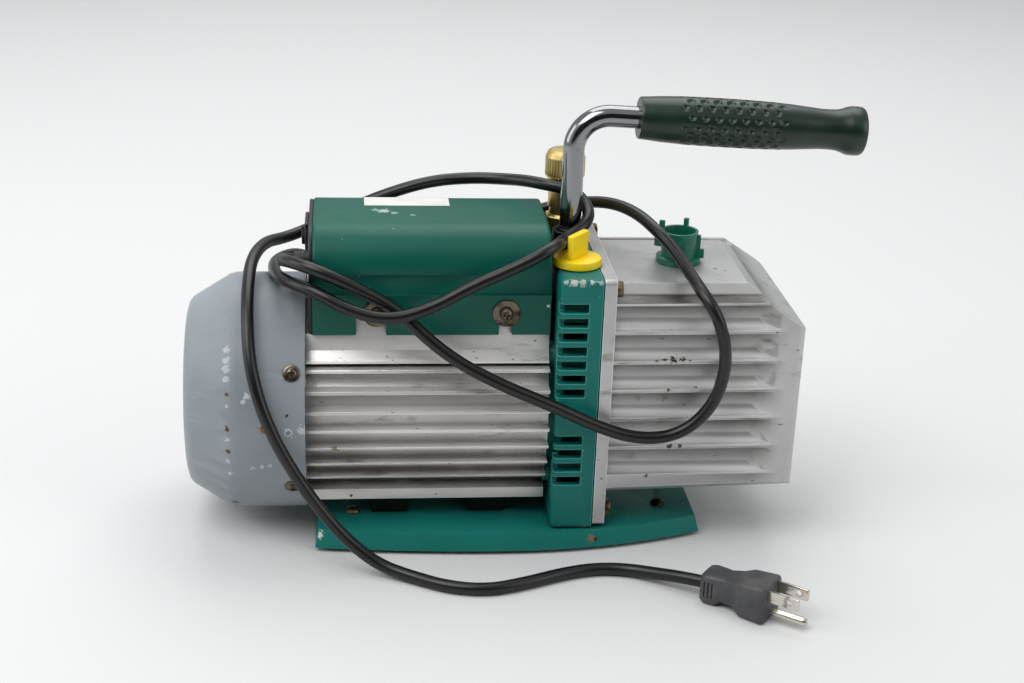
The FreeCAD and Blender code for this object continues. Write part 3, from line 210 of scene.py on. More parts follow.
def smooth(obj, angle=32.0):
    pick(obj)
    bpy.ops.object.shade_smooth_by_angle(angle=math.radians(angle))
    return obj


def turned(name, profile, at=(0, 0, 0), along=(0, 0, 1), sides=None):
    """A round piece drawn ring by ring from one circle.

    profile is (height, radius) in mm, from at along along.
    """
    deselect()
    sides = sides or bpy.context.scene.pump_sizes.round_sides
    rings = [(height * MM, max(radius, 0.002) * MM) for height, radius in profile]
    bpy.ops.mesh.primitive_circle_add(vertices=sides, radius=rings[0][1], location=(0, 0, rings[0][0]))
    obj = bpy.context.object
    bpy.ops.object.transform_apply(location=True, rotation=False, scale=False)
    bpy.ops.object.mode_set(mode="EDIT")
    bpy.ops.mesh.select_mode(type="EDGE")
    bpy.ops.mesh.select_all(action="SELECT")
    for (low, r0), (high, r1) in zip(rings, rings[1:]):
        bpy.ops.mesh.extrude_region_move(TRANSFORM_OT_translate={"value": (0, 0, high - low)})
        bpy.ops.transform.resize(value=(r1 / r0, r1 / r0, 1), center_override=(0, 0, high))
    bpy.ops.mesh.select_all(action="SELECT")
    bpy.ops.mesh.remove_doubles(threshold=0.008 * MM)
    bpy.ops.mesh.normals_make_consistent(inside=False)
    bpy.ops.object.mode_set(mode="OBJECT")
    obj.name = name
    return place(obj, at, Vector((0, 0, 1)).rotation_difference(Vector(along)).to_matrix().to_4x4())


def place(obj, at=(0, 0, 0), turn=None):
    """Moves obj to at in mm after an optional turn, and leaves its place in its mesh."""
    pick(obj)
    obj.matrix_world = Matrix.Translation(Vector(at) * MM) @ (turn or Matrix.Identity(4))
    bpy.ops.object.transform_apply(location=True, rotation=True, scale=True)
    return obj


def slab(name, low, high, edge=0.0, segments=3):
    """A block between two corners in mm, with rounded edges."""
    deselect()
    bpy.ops.mesh.primitive_cube_add(size=1.0)
    obj = bpy.context.object
    obj.name = name
    size = [(b - a) * MM for a, b in zip(low, high)]
    obj.scale, obj.location = size, [(a + b) / 2 * MM for a, b in zip(low, high)]
    bpy.ops.object.transform_apply(location=True, rotation=False, scale=True)
    return round_edges(obj, edge * MM, segments) if edge else obj


def copy_of(obj, name, turn=None, shift=(0, 0, 0)):
    """Another of the same piece, with its own mesh."""
    pick(obj)
    bpy.ops.object.duplicate(linked=False)
    made = bpy.context.object
    made.name = name
    return place(made, shift, turn)


def refined(node, edge, segments=2, angle=30.0, smooth_angle=30.0):
    """A merged copy of a CAD node with its sharp edges rounded."""
    obj = bpy.data.objects.new(node.replace("_", " "), NODES[node].data.copy())
    bpy.context.scene.collection.objects.link(obj)
    obj.data.materials.clear()
    edit(obj)
    bpy.ops.mesh.select_all(action="SELECT")
    bpy.ops.mesh.remove_doubles(threshold=0.002 * MM)
    bpy.ops.mesh.dissolve_limited(angle_limit=math.radians(0.6))
    bpy.ops.object.mode_set(mode="OBJECT")
    if edge:
        round_edges(obj, edge, segments, angle)
    return smooth(obj, smooth_angle)


def finish_piece(obj, node, material, *more_nodes):
    """Gives the piece its finish and its place on the moving frame, and hides the CAD nodes that it stands for.
    """
    obj.data.materials.clear()
    obj.data.materials.append(material)
    obj.name = node + "_piece"
    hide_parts(node, *more_nodes)
    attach(obj, BODY_OF[node])
    return obj


# ---- finishes ----
def add(tree, kind, settings=None, values=None, links=None):
    """Adds a node to a material, sets its options and sockets, and links sockets to others' outputs."""
    node = tree.nodes.new(kind)
    for key, value in (settings or {}).items():
        setattr(node, key, value)
    for key, value in (values or {}).items():
        node.inputs[key].default_value = value
    for key, source in (links or {}).items():
        tree.links.new(source, node.inputs[key])
    return node


def new_finish(name, colour, roughness, metallic=0.0, ior=None):
    """A principled surface; returns the material, its tree, its shader and the piece's coordinates."""
    made = bpy.data.materials.new(name)
    made.use_nodes = True
    tree = made.node_tree
    shader = tree.nodes["Principled BSDF"]
    shader.inputs["Base Color"].default_value = colour
    shader.inputs["Roughness"].default_value = roughness
    shader.inputs["Metallic"].default_value = metallic
    if ior:
        shader.inputs["IOR"].default_value = ior
    where = add(tree, "ShaderNodeTexCoord").outputs["Object"]
    return made, tree, shader, where


def patches(tree, where, size, start, end, detail=4.0, stretch=(1, 1, 1)):
    """A mask of irregular patches about size metres across, 0 below start and 1 above end."""
    spread = add(tree, "ShaderNodeMapping", values={"Scale": stretch}, links={"Vector": where})
    noise = add(tree, "ShaderNodeTexNoise", values={"Scale": 0.5 / size, "Detail": detail, "Roughness": 0.55},
                links={"Vector": spread.outputs["Vector"]})
    return add(tree, "ShaderNodeMapRange", values={"From Min": start, "From Max": end},
               links={"Value": noise.outputs["Fac"]}).outputs["Result"]


def corners(tree, radius):
    """A mask of the outer and inner corners within radius."""
    rounded = add(tree, "ShaderNodeBevel", {"samples": 6}, {"Radius": radius})
    here = add(tree, "ShaderNodeNewGeometry")
    facing = add(tree, "ShaderNodeVectorMath", {"operation": "DOT_PRODUCT"},
                 links={0: rounded.outputs["Normal"], 1: here.outputs["Normal"]})
    return add(tree, "ShaderNodeMapRange", values={"From Min": 0.995, "From Max": 0.93},
               links={"Value": facing.outputs["Value"]}).outputs["Result"]


def crevices(tree, reach, start, end):
    """A mask that fills the gaps and grooves narrower than reach, from ambient occlusion; it places painted
    shade.
    """
    open_sky = add(tree, "ShaderNodeAmbientOcclusion", {"samples": 8, "only_local": False},
                   {"Distance": reach})
    return add(tree, "ShaderNodeMapRange", values={"From Min": start, "From Max": end},
               links={"Value": open_sky.outputs["AO"]}).outputs["Result"]


def meeting(tree, mask, *others):
    """The mask of where all of these masks hold at once."""
    for other in others:
        mask = add(tree, "ShaderNodeMath", {"operation": "MULTIPLY", "use_clamp": True},
                   links={0: mask, 1: other}).outputs[0]
    return mask


def coats(tree, body, *layers):
    """The body colour with each layer, a mask and its colour, laid over those before it."""
    for mask, over in layers:
        node = add(tree, "ShaderNodeMix", {"data_type": "RGBA"}, {7: over}, {0: mask})
        if isinstance(body, bpy.types.NodeSocket):
            tree.links.new(body, node.inputs[6])
        else:
            node.inputs[6].default_value = body
        body = node.outputs[2]
    return body


def relief(tree, shader, *layers):
    """Raises the surface by each layer, a height mask and its depth, over those before it."""
    below = {}
    for height, depth in layers:
        bump = add(tree, "ShaderNodeBump", values={"Distance": depth}, links={"Height": height, **below})
        below = {"Normal": bump.outputs["Normal"]}
    tree.links.new(below["Normal"], shader.inputs["Normal"])


def spots(tree, where, body, places):
    """Lays small ragged marks on body at known places; each is (x, y, z, radius) in mm and a colour."""
    ragged = add(tree, "ShaderNodeTexNoise", values={"Scale": 1 / (1.5 * MM), "Detail": 4.0},
                 links={"Vector": where})
    wander = add(tree, "ShaderNodeMapRange",
                 values={"From Min": 0.3, "From Max": 0.7, "To Min": 0.45, "To Max": 1.5},
                 links={"Value": ragged.outputs["Fac"]})
    for x, y, z, radius, colour in places:
        away = add(tree, "ShaderNodeVectorMath", {"operation": "DISTANCE"},
                   {1: (x * MM, y * MM, z * MM)}, {0: where})
        ragged_away = add(tree, "ShaderNodeMath", {"operation": "MULTIPLY"},
                          links={0: away.outputs["Value"], 1: wander.outputs["Result"]})
        mark = add(tree, "ShaderNodeMapRange",
                   values={"From Min": radius * MM, "From Max": radius * 0.75 * MM},
                   links={"Value": ragged_away.outputs[0]})
        body = coats(tree, body, (mark.outputs["Result"], shade(colour)))
    return body


def worn_enamel(name, colour, roughness, rub_and_highlight, rub_and_highlight_start, orange_peel, marks):
    """Sprayed stoving enamel: even colour, orange peel, painted shade in its corners, edges in another colour
    (the bell's is a painted highlight) and a few marks.
    """
    made, tree, shader, where = new_finish(name, colour, roughness, ior=1.33)
    tone = patches(tree, where, 40 * MM, 0.35, 0.7)
    # Painted shade: near-black laid in patches where the ambient occlusion finds corners, slots and gaps.
    corner_shade = meeting(tree, crevices(tree, 6 * MM, 0.7, 0.2), patches(tree, where, 7 * MM, 0.25, 0.6))
    # The edge colour is pale scraped paint on the fan cover, darker on the base, and a painted highlight of
    # lighter teal on the bell's edges and louvres.
    edge = meeting(tree, corners(tree, 0.8 * MM), patches(tree, where, 7 * MM, rub_and_highlight_start, rub_and_highlight_start + 0.08))
    freckles = patches(tree, where, 1.1 * MM, 0.765, 0.785, detail=2.0)
    body = coats(tree, colour, (tone, darker(colour, 0.84)), (corner_shade, shade("#10120f")),
                 (edge, shade(rub_and_highlight)), (freckles, shade("#b9c2bd")))
    tree.links.new(spots(tree, where, body, marks), shader.inputs["Base Color"])
    handled = patches(tree, where, 12 * MM, 0.4, 0.7, detail=8.0)
    gloss = add(tree, "ShaderNodeMapRange", values={"To Min": roughness, "To Max": roughness + 0.1},
                links={"Value": handled})
    tree.links.new(gloss.outputs["Result"], shader.inputs["Roughness"])
    peel = add(tree, "ShaderNodeTexNoise", values={"Scale": 1 / (1.4 * MM), "Detail": 2.0},
               links={"Vector": where})
    relief(tree, shader, (peel.outputs["Fac"], orange_peel), (edge, -0.08 * MM))
    return made


def under_ledges(tree, where, body, lowest, pitch, depth):
    """Painted shadow bands under a row of ledges, and painted highlight bands where each hollow sweeps out over
    the next ledge.
    """
    axes = add(tree, "ShaderNodeSeparateXYZ", links={"Vector": where}).outputs
    rise = add(tree, "ShaderNodeMath", {"operation": "SUBTRACT"}, {1: lowest}, {0: axes["Z"]}).outputs[0]
    steps = add(tree, "ShaderNodeMath", {"operation": "DIVIDE"}, {1: pitch}, {0: rise}).outputs[0]
    share = add(tree, "ShaderNodeMath", {"operation": "FRACT"}, links={0: steps}).outputs[0]
    width = add(tree, "ShaderNodeMath", {"operation": "ABSOLUTE"}, links={0: axes["Y"]}).outputs[0]
    inside = add(tree, "ShaderNodeMapRange", values={"From Min": depth + 1.5 * MM, "From Max": depth},
                 links={"Value": width}).outputs["Result"]
    for axis, end, fade in (("X", 124 * MM, 16 * MM), ("Z", 144 * MM, 1 * MM)):
        within = add(tree, "ShaderNodeMapRange", values={"From Min": end + fade, "From Max": end},
                     links={"Value": axes[axis]}).outputs["Result"]
        inside = meeting(tree, inside, within)
    shadow_patches = patches(tree, where, 18 * MM, 0.1, 0.55, detail=6.0, stretch=(0.4, 1, 1))
    # dark is the painted shadow under each ledge, broken into patches; light is the painted highlight on each
    # sweep.
    dark = add(tree, "ShaderNodeMapRange", values={"From Min": 0.36, "From Max": 0.92},
               links={"Value": share}).outputs["Result"]
    light = add(tree, "ShaderNodeMapRange", values={"From Min": 0.34, "From Max": 0.12, "To Max": 0.8},
                links={"Value": share}).outputs["Result"]
    return coats(tree, body, (meeting(tree, light, inside), shade("#eeeeed")),
                 (meeting(tree, dark, inside, shadow_patches), shade("#45423e")))


def cast_alloy(name, colour, groove_shade_colour, roughness, grain, metallic, marks, bright="#f0efec", shadow_below=0.0,
               ledges=None):
    """Aluminium casting: light grey with a fine grain, painted shade in its grooves, edges rubbed and painted
    bright as a highlight, and painted shadow below a given height.
    """
    made, tree, shader, where = new_finish(name, shade(colour), roughness, metallic)
    tone = patches(tree, where, 30 * MM, 0.35, 0.75)
    smears = patches(tree, where, 5 * MM, 0.60, 0.74, detail=8.0, stretch=(0.3, 1, 1))
    # Painted shade: a dark colour laid in patches in the grooves that the ambient occlusion finds; the metal is
    # made less metallic there.
    groove_shade = meeting(tree, crevices(tree, 7 * MM, 0.72, 0.15), patches(tree, where, 9 * MM, 0.1, 0.5))
    specks = patches(tree, where, 1.3 * MM, 0.70, 0.74, detail=3.0, stretch=(0.5, 1, 1))
    # Edges laid in the bright colour in patches: partly rubbed metal, partly a painted highlight.
    rub_and_highlight = meeting(tree, corners(tree, 0.9 * MM), patches(tree, where, 9 * MM, 0.3, 0.5))
    body = coats(tree, shade(colour), (tone, darker(shade(colour), 0.78)), (smears, shade("#8a867e")),
                 (groove_shade, shade(groove_shade_colour)), (specks, shade("#4a443a")), (rub_and_highlight, shade(bright)))
    if ledges:
        body = under_ledges(tree, where, body, *ledges)
    # Painted shadow: below the given height the metal turns near-black, as the shade under the motor's fins.
    height = add(tree, "ShaderNodeSeparateXYZ", links={"Vector": where}).outputs["Z"]
    low = add(tree, "ShaderNodeMapRange", values={"From Min": shadow_below + 1 * MM, "From Max": shadow_below},
              links={"Value": height}).outputs["Result"]
    body = coats(tree, body, (low, shade("#1f1c18")))
    tree.links.new(spots(tree, where, body, marks), shader.inputs["Base Color"])
    for socket, mask, clean, dirty in (("Metallic", groove_shade, metallic, 0.1),
                                       ("Roughness", smears, roughness, roughness + 0.15)):
        varied = add(tree, "ShaderNodeMapRange", values={"To Min": clean, "To Max": dirty},
                     links={"Value": mask})
        tree.links.new(varied.outputs["Result"], shader.inputs[socket])
    grains = add(tree, "ShaderNodeTexNoise", values={"Scale": 0.5 / grain, "Detail": 6.0, "Roughness": 0.65},
                 links={"Vector": where})
    relief(tree, shader, (grains.outputs["Fac"], 0.08 * MM))
    return made


def plain_metal(name, colour, roughness, stain="#3a352a", stain_start=0.58, brushed=None):
    """Turned or plated metal, a little stained; brushed is the direction that its fine lines run in."""
    made, tree, shader, where = new_finish(name, shade(colour), roughness, 1.0)
    tarnish = patches(tree, where, 4 * MM, stain_start, stain_start + 0.14, detail=8.0)
    tree.links.new(coats(tree, shade(colour), (tarnish, shade(stain))), shader.inputs["Base Color"])
    dulled = add(tree, "ShaderNodeMapRange", values={"To Min": roughness, "To Max": roughness + 0.25},
                 links={"Value": tarnish})
    tree.links.new(dulled.outputs["Result"], shader.inputs["Roughness"])
    if brushed:
        relief(tree, shader, (patches(tree, where, 0.35 * MM, 0.3, 0.7, stretch=brushed), 0.02 * MM))
    return made


def moulded(name, colour, roughness, sparkle=0.3 * MM, depth=0.03 * MM, dust=None):
    """Moulded plastic or rubber: one colour, a fine mould grain and a little dust."""
    made, tree, shader, where = new_finish(name, colour, roughness, ior=1.5)
    if dust:
        film = patches(tree, where, 8 * MM, 0.45, 0.75, detail=8.0)
        tree.links.new(coats(tree, colour, (film, shade(dust))), shader.inputs["Base Color"])
    grain = add(tree, "ShaderNodeTexNoise", values={"Scale": 0.5 / sparkle, "Detail": 3.0},
                links={"Vector": where})
    relief(tree, shader, (grain.outputs["Fac"], depth))
    return made


def clear_glass(name):
    """Clear glass with the amber of the oil behind it."""
    made, _, shader, _ = new_finish(name, shade("#e9dca6"), 0.05, ior=1.5)
    shader.inputs["Transmission Weight"].default_value = 0.85
    return made


FINISHES = {}

# Paint chips and stains, and a painted highlight on the fan cover's crease: x, y, z and radius in mm, and a
# colour.
FAN_MARKS = (
    (-141.5, -65.9, 77.4, 2.2, "#8a5a24"), (-139.2, -65.9, 75.0, 1.5, "#bcc0c2"),
    (-128.9, -65.9, 75.6, 2.4, "#c9cccc"), (-128.9, -65.9, 75.6, 1.3, "#7f8589"),
    (-121.6, -65.9, 76.7, 2.2, "#bcc0c2"), (-150.6, -62.1, 95.4, 1.6, "#c9cdcf"),
    (-152.2, -63.1, 92.4, 1.4, "#c4c9cb"), (-147.9, -63.2, 54.0, 1.2, "#b9bec0"),
    (-143.1, -63.4, 54.6, 1.3, "#b9bec0"), (-138.9, -63.6, 55.2, 1.3, "#b5babc"),
    (-129.4, -64.9, 85.0, 0.9, "#3b2f28"), (-160.9, -61.4, 96.0, 1.2, "#6a5246"),
    (-160.9, -63.4, 90.0, 1.0, "#b9bec0"), (-160.9, -65.3, 77.6, 1.3, "#5b4438"),
    (-160.9, -65.6, 71.9, 1.2, "#b5babc"), (-160.9, -65.0, 64.7, 1.2, "#5b4438"),
    (-160.8, -63.8, 58.3, 1.3, "#b5babc"), (-160.2, -61.8, 49.9, 1.2, "#c9cccc"),
    # These four marks along the fan cover's upper crease are a painted highlight.
    (-161.4, -52.6, 112.0, 1.9, "#b4bbc1"), (-161.4, -55.2, 108.0, 2.4, "#b4bbc1"),
    (-161.4, -57.8, 103.0, 1.9, "#b4bbc1"), (-161.2, -49.0, 116.5, 1.8, "#b7bfc4"),
    (-159.0, -43.5, 24.0, 2.6, "#4f565b"))
BOX_MARKS = (
    (-82.0, 1.5, 178.0, 2.0, "#7f9f96"), (-77.5, -0.5, 178.0, 3.0, "#9db5ad"),
    (-72.0, -4.0, 178.0, 2.0, "#86a39b"), (-62.0, -7.7, 178.0, 1.3, "#7f9f96"),
    (-86.1, -42.4, 148.5, 0.7, "#9fb1aa"), (-44.8, -44.4, 140.8, 0.8, "#c3cdc8"),
    (9.2, -44.4, 139.0, 0.9, "#c3cdc8"))
BELL_MARKS = (
    (17.0, -58.2, 157.6, 1.6, "#9aa9a2"), (21.0, -58.2, 157.6, 2.4, "#b3bdb7"),
    (25.5, -58.2, 157.4, 2.2, "#a3b0aa"), (30.5, -58.2, 157.6, 1.8, "#b3bdb7"),
    (35.0, -58.2, 157.0, 1.5, "#9aa9a2"), (33.0, -58.3, 12.4, 2.2, "#59695f"))
BASE_MARKS = (
    (36.9, -61.5, 7.5, 2.0, "#8a6a48"), (40.0, -61.2, 7.0, 1.2, "#3a3029"),
    (8.4, -62.5, 6.6, 1.2, "#22352f"), (-113.0, -56.0, 9.5, 2.2, "#cfd6d2"),
    (94.0, -44.0, 4.5, 1.8, "#22302c"))
CASE_MARKS = (
    (68.0, -57.6, 112.6, 1.0, "#5a554c"), (72.0, -57.6, 113.4, 1.8, "#4a453e"),
    (77.0, -57.6, 113.6, 2.4, "#3d3831"), (82.0, -57.5, 113.3, 1.7, "#4a453e"),
    (86.0, -57.5, 112.6, 1.0, "#5a554c"), (90.0, -56.5, 97.3, 1.3, "#5f5b54"),
    (59.5, -53.0, 89.0, 2.2, "#8b8984"), (74.5, -53.0, 89.5, 2.6, "#7d7b75"),
    (78.0, -57.6, 61.6, 1.5, "#4a453e"), (84.0, -57.5, 61.8, 1.1, "#4f4a42"),
    (75.0, -57.6, 95.4, 1.0, "#5f5b54"), (66.0, -57.4, 44.0, 1.2, "#6a665e"))
MOTOR_MARKS = (
    (-104.0, -58.0, 62.0, 2.2, "#9b8a68"), (-62.0, -57.0, 49.0, 2.6, "#7d6f55"),
    (-30.0, -58.5, 78.0, 2.0, "#a89b80"), (-86.0, -55.0, 56.0, 2.0, "#8a7b60"))


def mix_finishes(colours):
    """Every finish, by the record's material slot."""
    return {
        # Sprayed and baked paint: an even satin skin with soft highlights, pale where it is scraped.
        "fan_enamel": worn_enamel("Blue-grey stoving enamel, scraped", colours.fan, 0.36, "#c9cdcf", 0.62,
                                  0.05 * MM, FAN_MARKS),
        # The same paint on rough metal: a little more texture; the bell's edges are a painted highlight of
        # lighter teal, the base's edges darker.
        "bell_enamel": worn_enamel("Sprayed teal enamel on casting", colours.bell, 0.34, "#56b3a5", 0.30,
                                   0.05 * MM, BELL_MARKS),
        "base_enamel": worn_enamel("Sprayed teal enamel on steel", colours.base, 0.42, "#1a2a27", 0.58,
                                   0.03 * MM, BASE_MARKS),
        # A smoother coat on bent sheet: broad clear highlights along its rounded corners.
        "box_enamel": worn_enamel("Satin green stoving enamel", colours.box, 0.36, "#2f8f7d", 0.90,
                                  0.012 * MM, BOX_MARKS),
        # Bare drawn metal: fin edges rubbed and painted near-white as a highlight, painted brown shade in the
        # grooves and painted shadow low under the fins.
        "motor_alloy": cast_alloy("Extruded aluminium, painted shade in its grooves", "#dddbd8", "#5d5344", 0.36,
                                  0.9 * MM, 0.45, MOTOR_MARKS, bright="#f6f5f0", shadow_below=24.0 * MM),
        # Bare cast metal: a dull grain, painted shadow under each rib, a painted highlight where each hollow
        # sweeps out, and edges rubbed and painted light as a highlight.
        "case_alloy": cast_alloy("Die-cast aluminium, oil stained", "#c4c4c3", "#2f2c28", 0.38, 1.2 * MM,
                                 0.55, CASE_MARKS, ledges=(44.2 * MM, 16.8 * MM, 55.8 * MM)),
        # Moulded nylon: one full colour with a soft sheen; the black ones gather grey dust.
        "yellow_plastic": moulded("Moulded yellow nylon", colours.knob, 0.36),
        "black_plastic": moulded("Moulded black nylon", shade("#101011"), 0.42, dust="#1f1e1d"),
        "switch_plastic": moulded("Moulded black switch nylon", shade("#0d0d0e"), 0.28),
        "green_plastic": moulded("Moulded green nylon", shade("#0c6a54"), 0.34, dust="#245f50"),
        # Bright plating: sharp dark and light streaks along the rod, with faint haze.
        "chrome": plain_metal("Chrome plate", "#8f9092", 0.12, "#6d675a", 0.62),
        # Rubbers: the grip has a soft shine from handling, the cord a satin line, the feet none.
        "grip_rubber": moulded("Dark green grip rubber", colours.grip, 0.33, 0.8 * MM, 0.015 * MM,
                               dust="#1b3527"),
        "foot_rubber": moulded("Black rubber", shade("#161616"), 0.7),
        "cord_rubber": moulded("Satin black cord rubber", shade("#0a0a0b"), 0.34, 1.2 * MM, 0.02 * MM,
                               dust="#121213"),
        "plug_plastic": moulded("Grey plug rubber", shade("#3f4043"), 0.48, 0.6 * MM, 0.05 * MM,
                                dust="#5c5b5a"),
        # Copper alloys: warm metal whose shine is broken by brown tarnish.
        "brass": plain_metal("Turned brass, dulled", "#cdb677", 0.40, "#8f7a3e", 0.55),
        "bronze": plain_metal("Sintered bronze", "#9a6f3c", 0.5),
        "copper": plain_metal("Varnished copper wire", "#a85a2e", 0.3),
        # Plated and bare steels: from mirror-like nickel to blotched, nearly matt zinc.
        "zinc": plain_metal("Dark yellow zinc plate", "#7d7558", 0.42, "#2c281d", 0.46),
        "steel": plain_metal("Machined steel", "#a5a6a8", 0.34, brushed=(1, 1, 8)),
        "nickel": plain_metal("Bright nickel plate", "#d9d4ca", 0.24, "#8d8471", 0.58),
        "tarnished": plain_metal("Nickel plate, tarnished brown", "#6f6759", 0.36, "#3a2d20", 0.46),
        "black_steel": plain_metal("Blacked steel", "#2b2b2c", 0.42, "#5a4a36", 0.62),
        "iron": plain_metal("Ground iron", "#6a6a6c", 0.5),
        # Pressed and sheet goods inside and between the castings: flat, matt and dusty.
        "vane_resin": moulded("Resin laminate", shade("#4a3d33"), 0.55),
        "gasket": moulded("Fibre gasket", shade("#2a2622"), 0.85),
        "label": moulded("Plain paper sticker", shade("#dddcd8"), 0.5, dust="#cbc8c0"),
        "spider_rubber": moulded("Red coupling rubber", shade("#6d1d18"), 0.6),
        # Polished glass: a clear highlight over the oil's amber.
        "glass": clear_glass("Clear sight glass over amber oil"),
    }


# ---- pieces ----
def sizes():
    return bpy.context.scene.pump_sizes


def finished(obj, node, finish=None):
    return finish_piece(obj, node, FINISHES[finish or SLOT_OF[node]])


def cross_screw(name, head_r, head_t):
    """A domed screw head on +Z with a cross recess."""
    head = turned(name, [(-1.5, 0), (-1.5, head_r * 0.5), (0, head_r * 0.5), (0, head_r * 0.96),
                         (0.12, head_r),
                         (head_t * 0.35, head_r), (head_t * 0.75, head_r * 0.8),
                         (head_t * 0.95, head_r * 0.45),
                         (head_t, 0)], sides=40)
    reach, width = head_r * 0.55, head_r * 0.13
    cross = [slab("slot", (-a, -b, head_t * 0.35), (a, b, head_t * 1.5))
             for a, b in ((reach, width), (width, reach))]
    return smooth(cut_with(head, *cross), 40)


def hex_head(name, across, height):
    """A chamfered hexagon bolt head on +Z with its flange."""
    corner = across / math.sqrt(3)
    head = turned(name, [(0, 0), (0, corner), (height * 0.82, corner), (height, corner * 0.86), (height, 0)],
                  sides=6)
    round_edges(head, 0.18 * MM, 2)
    flange = turned("flange", [(-0.2, 0), (-0.2, corner * 1.1), (0.5, corner * 1.1), (0.8, corner), (0.8, 0)],
                    sides=40)
    return smooth(join(name, head, flange), 35)


def radial(angle):
    """The turn that takes +Z to the direction at angle round the shaft, from +Y towards +Z."""
    return Matrix.Rotation(math.radians(angle - 90.0), 4, "X")


def about_shaft(angle, radius):
    a = math.radians(angle)
    return radius * math.cos(a), SHAFT_Z + radius * math.sin(a)


class PUMP_OT_finishes(bpy.types.Operator):
    """Mix every finish and give it to the CAD nodes"""
    bl_idname = "pump.finishes"
    bl_label = "Finishes"

    def execute(self, context):
        FINISHES.update(mix_finishes(context.scene.pump_colours))
        for node, obj in NODES.items():
            obj.data.materials.clear()
            obj.data.materials.append(FINISHES[SLOT_OF[node]])
        return {"FINISHED"}


class PUMP_OT_stage(bpy.types.Operator):
    """Set the camera, the paper floor and the lights"""
    bl_idname = "pump.stage"
    bl_label = "Stage"

    def execute(self, context):
        yaw, pitch, roll = (math.radians(a) for a in (CAMERA_YAW, CAMERA_PITCH, CAMERA_ROLL))
        ahead = Vector((math.sin(yaw) * math.cos(pitch), math.cos(yaw) * math.cos(pitch), -math.sin(pitch)))
        level = Vector((math.cos(yaw), -math.sin(yaw), 0.0))
        upright = level.cross(ahead)
        right = math.cos(roll) * level + math.sin(roll) * upright
        up = math.cos(roll) * upright - math.sin(roll) * level
        deselect()
        bpy.ops.object.camera_add()
        camera = context.object
        camera.name = "Camera"
        camera.matrix_world = Matrix.Translation(Vector(CAMERA_AT) * MM) @ Matrix(
            (right, up, -ahead)).transposed().to_4x4()
        camera.data.sensor_width, camera.data.lens = SENSOR, LENS
        camera.data.clip_start = 0.01
        context.scene.camera = camera
        bpy.ops.mesh.primitive_plane_add(size=9.0)
        floor = context.object
        floor.name = "paper_floor"
        paper, _, shader, _ = new_finish("Matt paper", context.scene.pump_colours.floor, 0.9)
        shader.inputs["Specular IOR Level"].default_value = 0.1
        floor.data.materials.append(paper)
        bpy.ops.mesh.primitive_plane_add(size=1.0, location=(0.0, -1.45, 0.75),
                                         rotation=(math.radians(90), 0, 0))
        card = context.object
        card.name = "dark_card"
        card.scale = (3.4, 1.3, 1.0)
        bpy.ops.object.transform_apply(location=False, rotation=True, scale=True)
        card.data.materials.append(new_finish("Black felt", shade("#1b1b1c"), 0.95)[0])
        card.visible_camera = False
        for name, spot, size, power in (("key_softbox", (-0.9, -0.7, 1.7), 1.3, 20.0),
                                        ("fill_softbox", (1.5, -0.9, 0.9), 1.2, 7.0),
                                        ("side_softbox", (-1.7, 0.1, 0.7), 1.0, 6.0),
                                        ("top_softbox", (0.1, 0.9, 1.8), 1.6, 19.0)):
            bpy.ops.object.light_add(type="AREA", location=spot)
            lamp = context.object
            lamp.name, lamp.data.size, lamp.data.energy = name, size, power
            lamp.matrix_world = Matrix.Translation(spot) @ (Vector((0, 0,
                                                                    0.09)) - Vector(spot)).to_track_quat(
                "-Z", "Y").to_matrix().to_4x4()
        world = bpy.data.worlds.new("Pale room")
        world.use_nodes = True
        world.node_tree.nodes["Background"].inputs["Color"].default_value = shade("#f4f6f8")
        world.node_tree.nodes["Background"].inputs["Strength"].default_value = 0.55
        context.scene.world = world
        context.scene.view_settings.view_transform = "Standard"
        return {"FINISHED"}


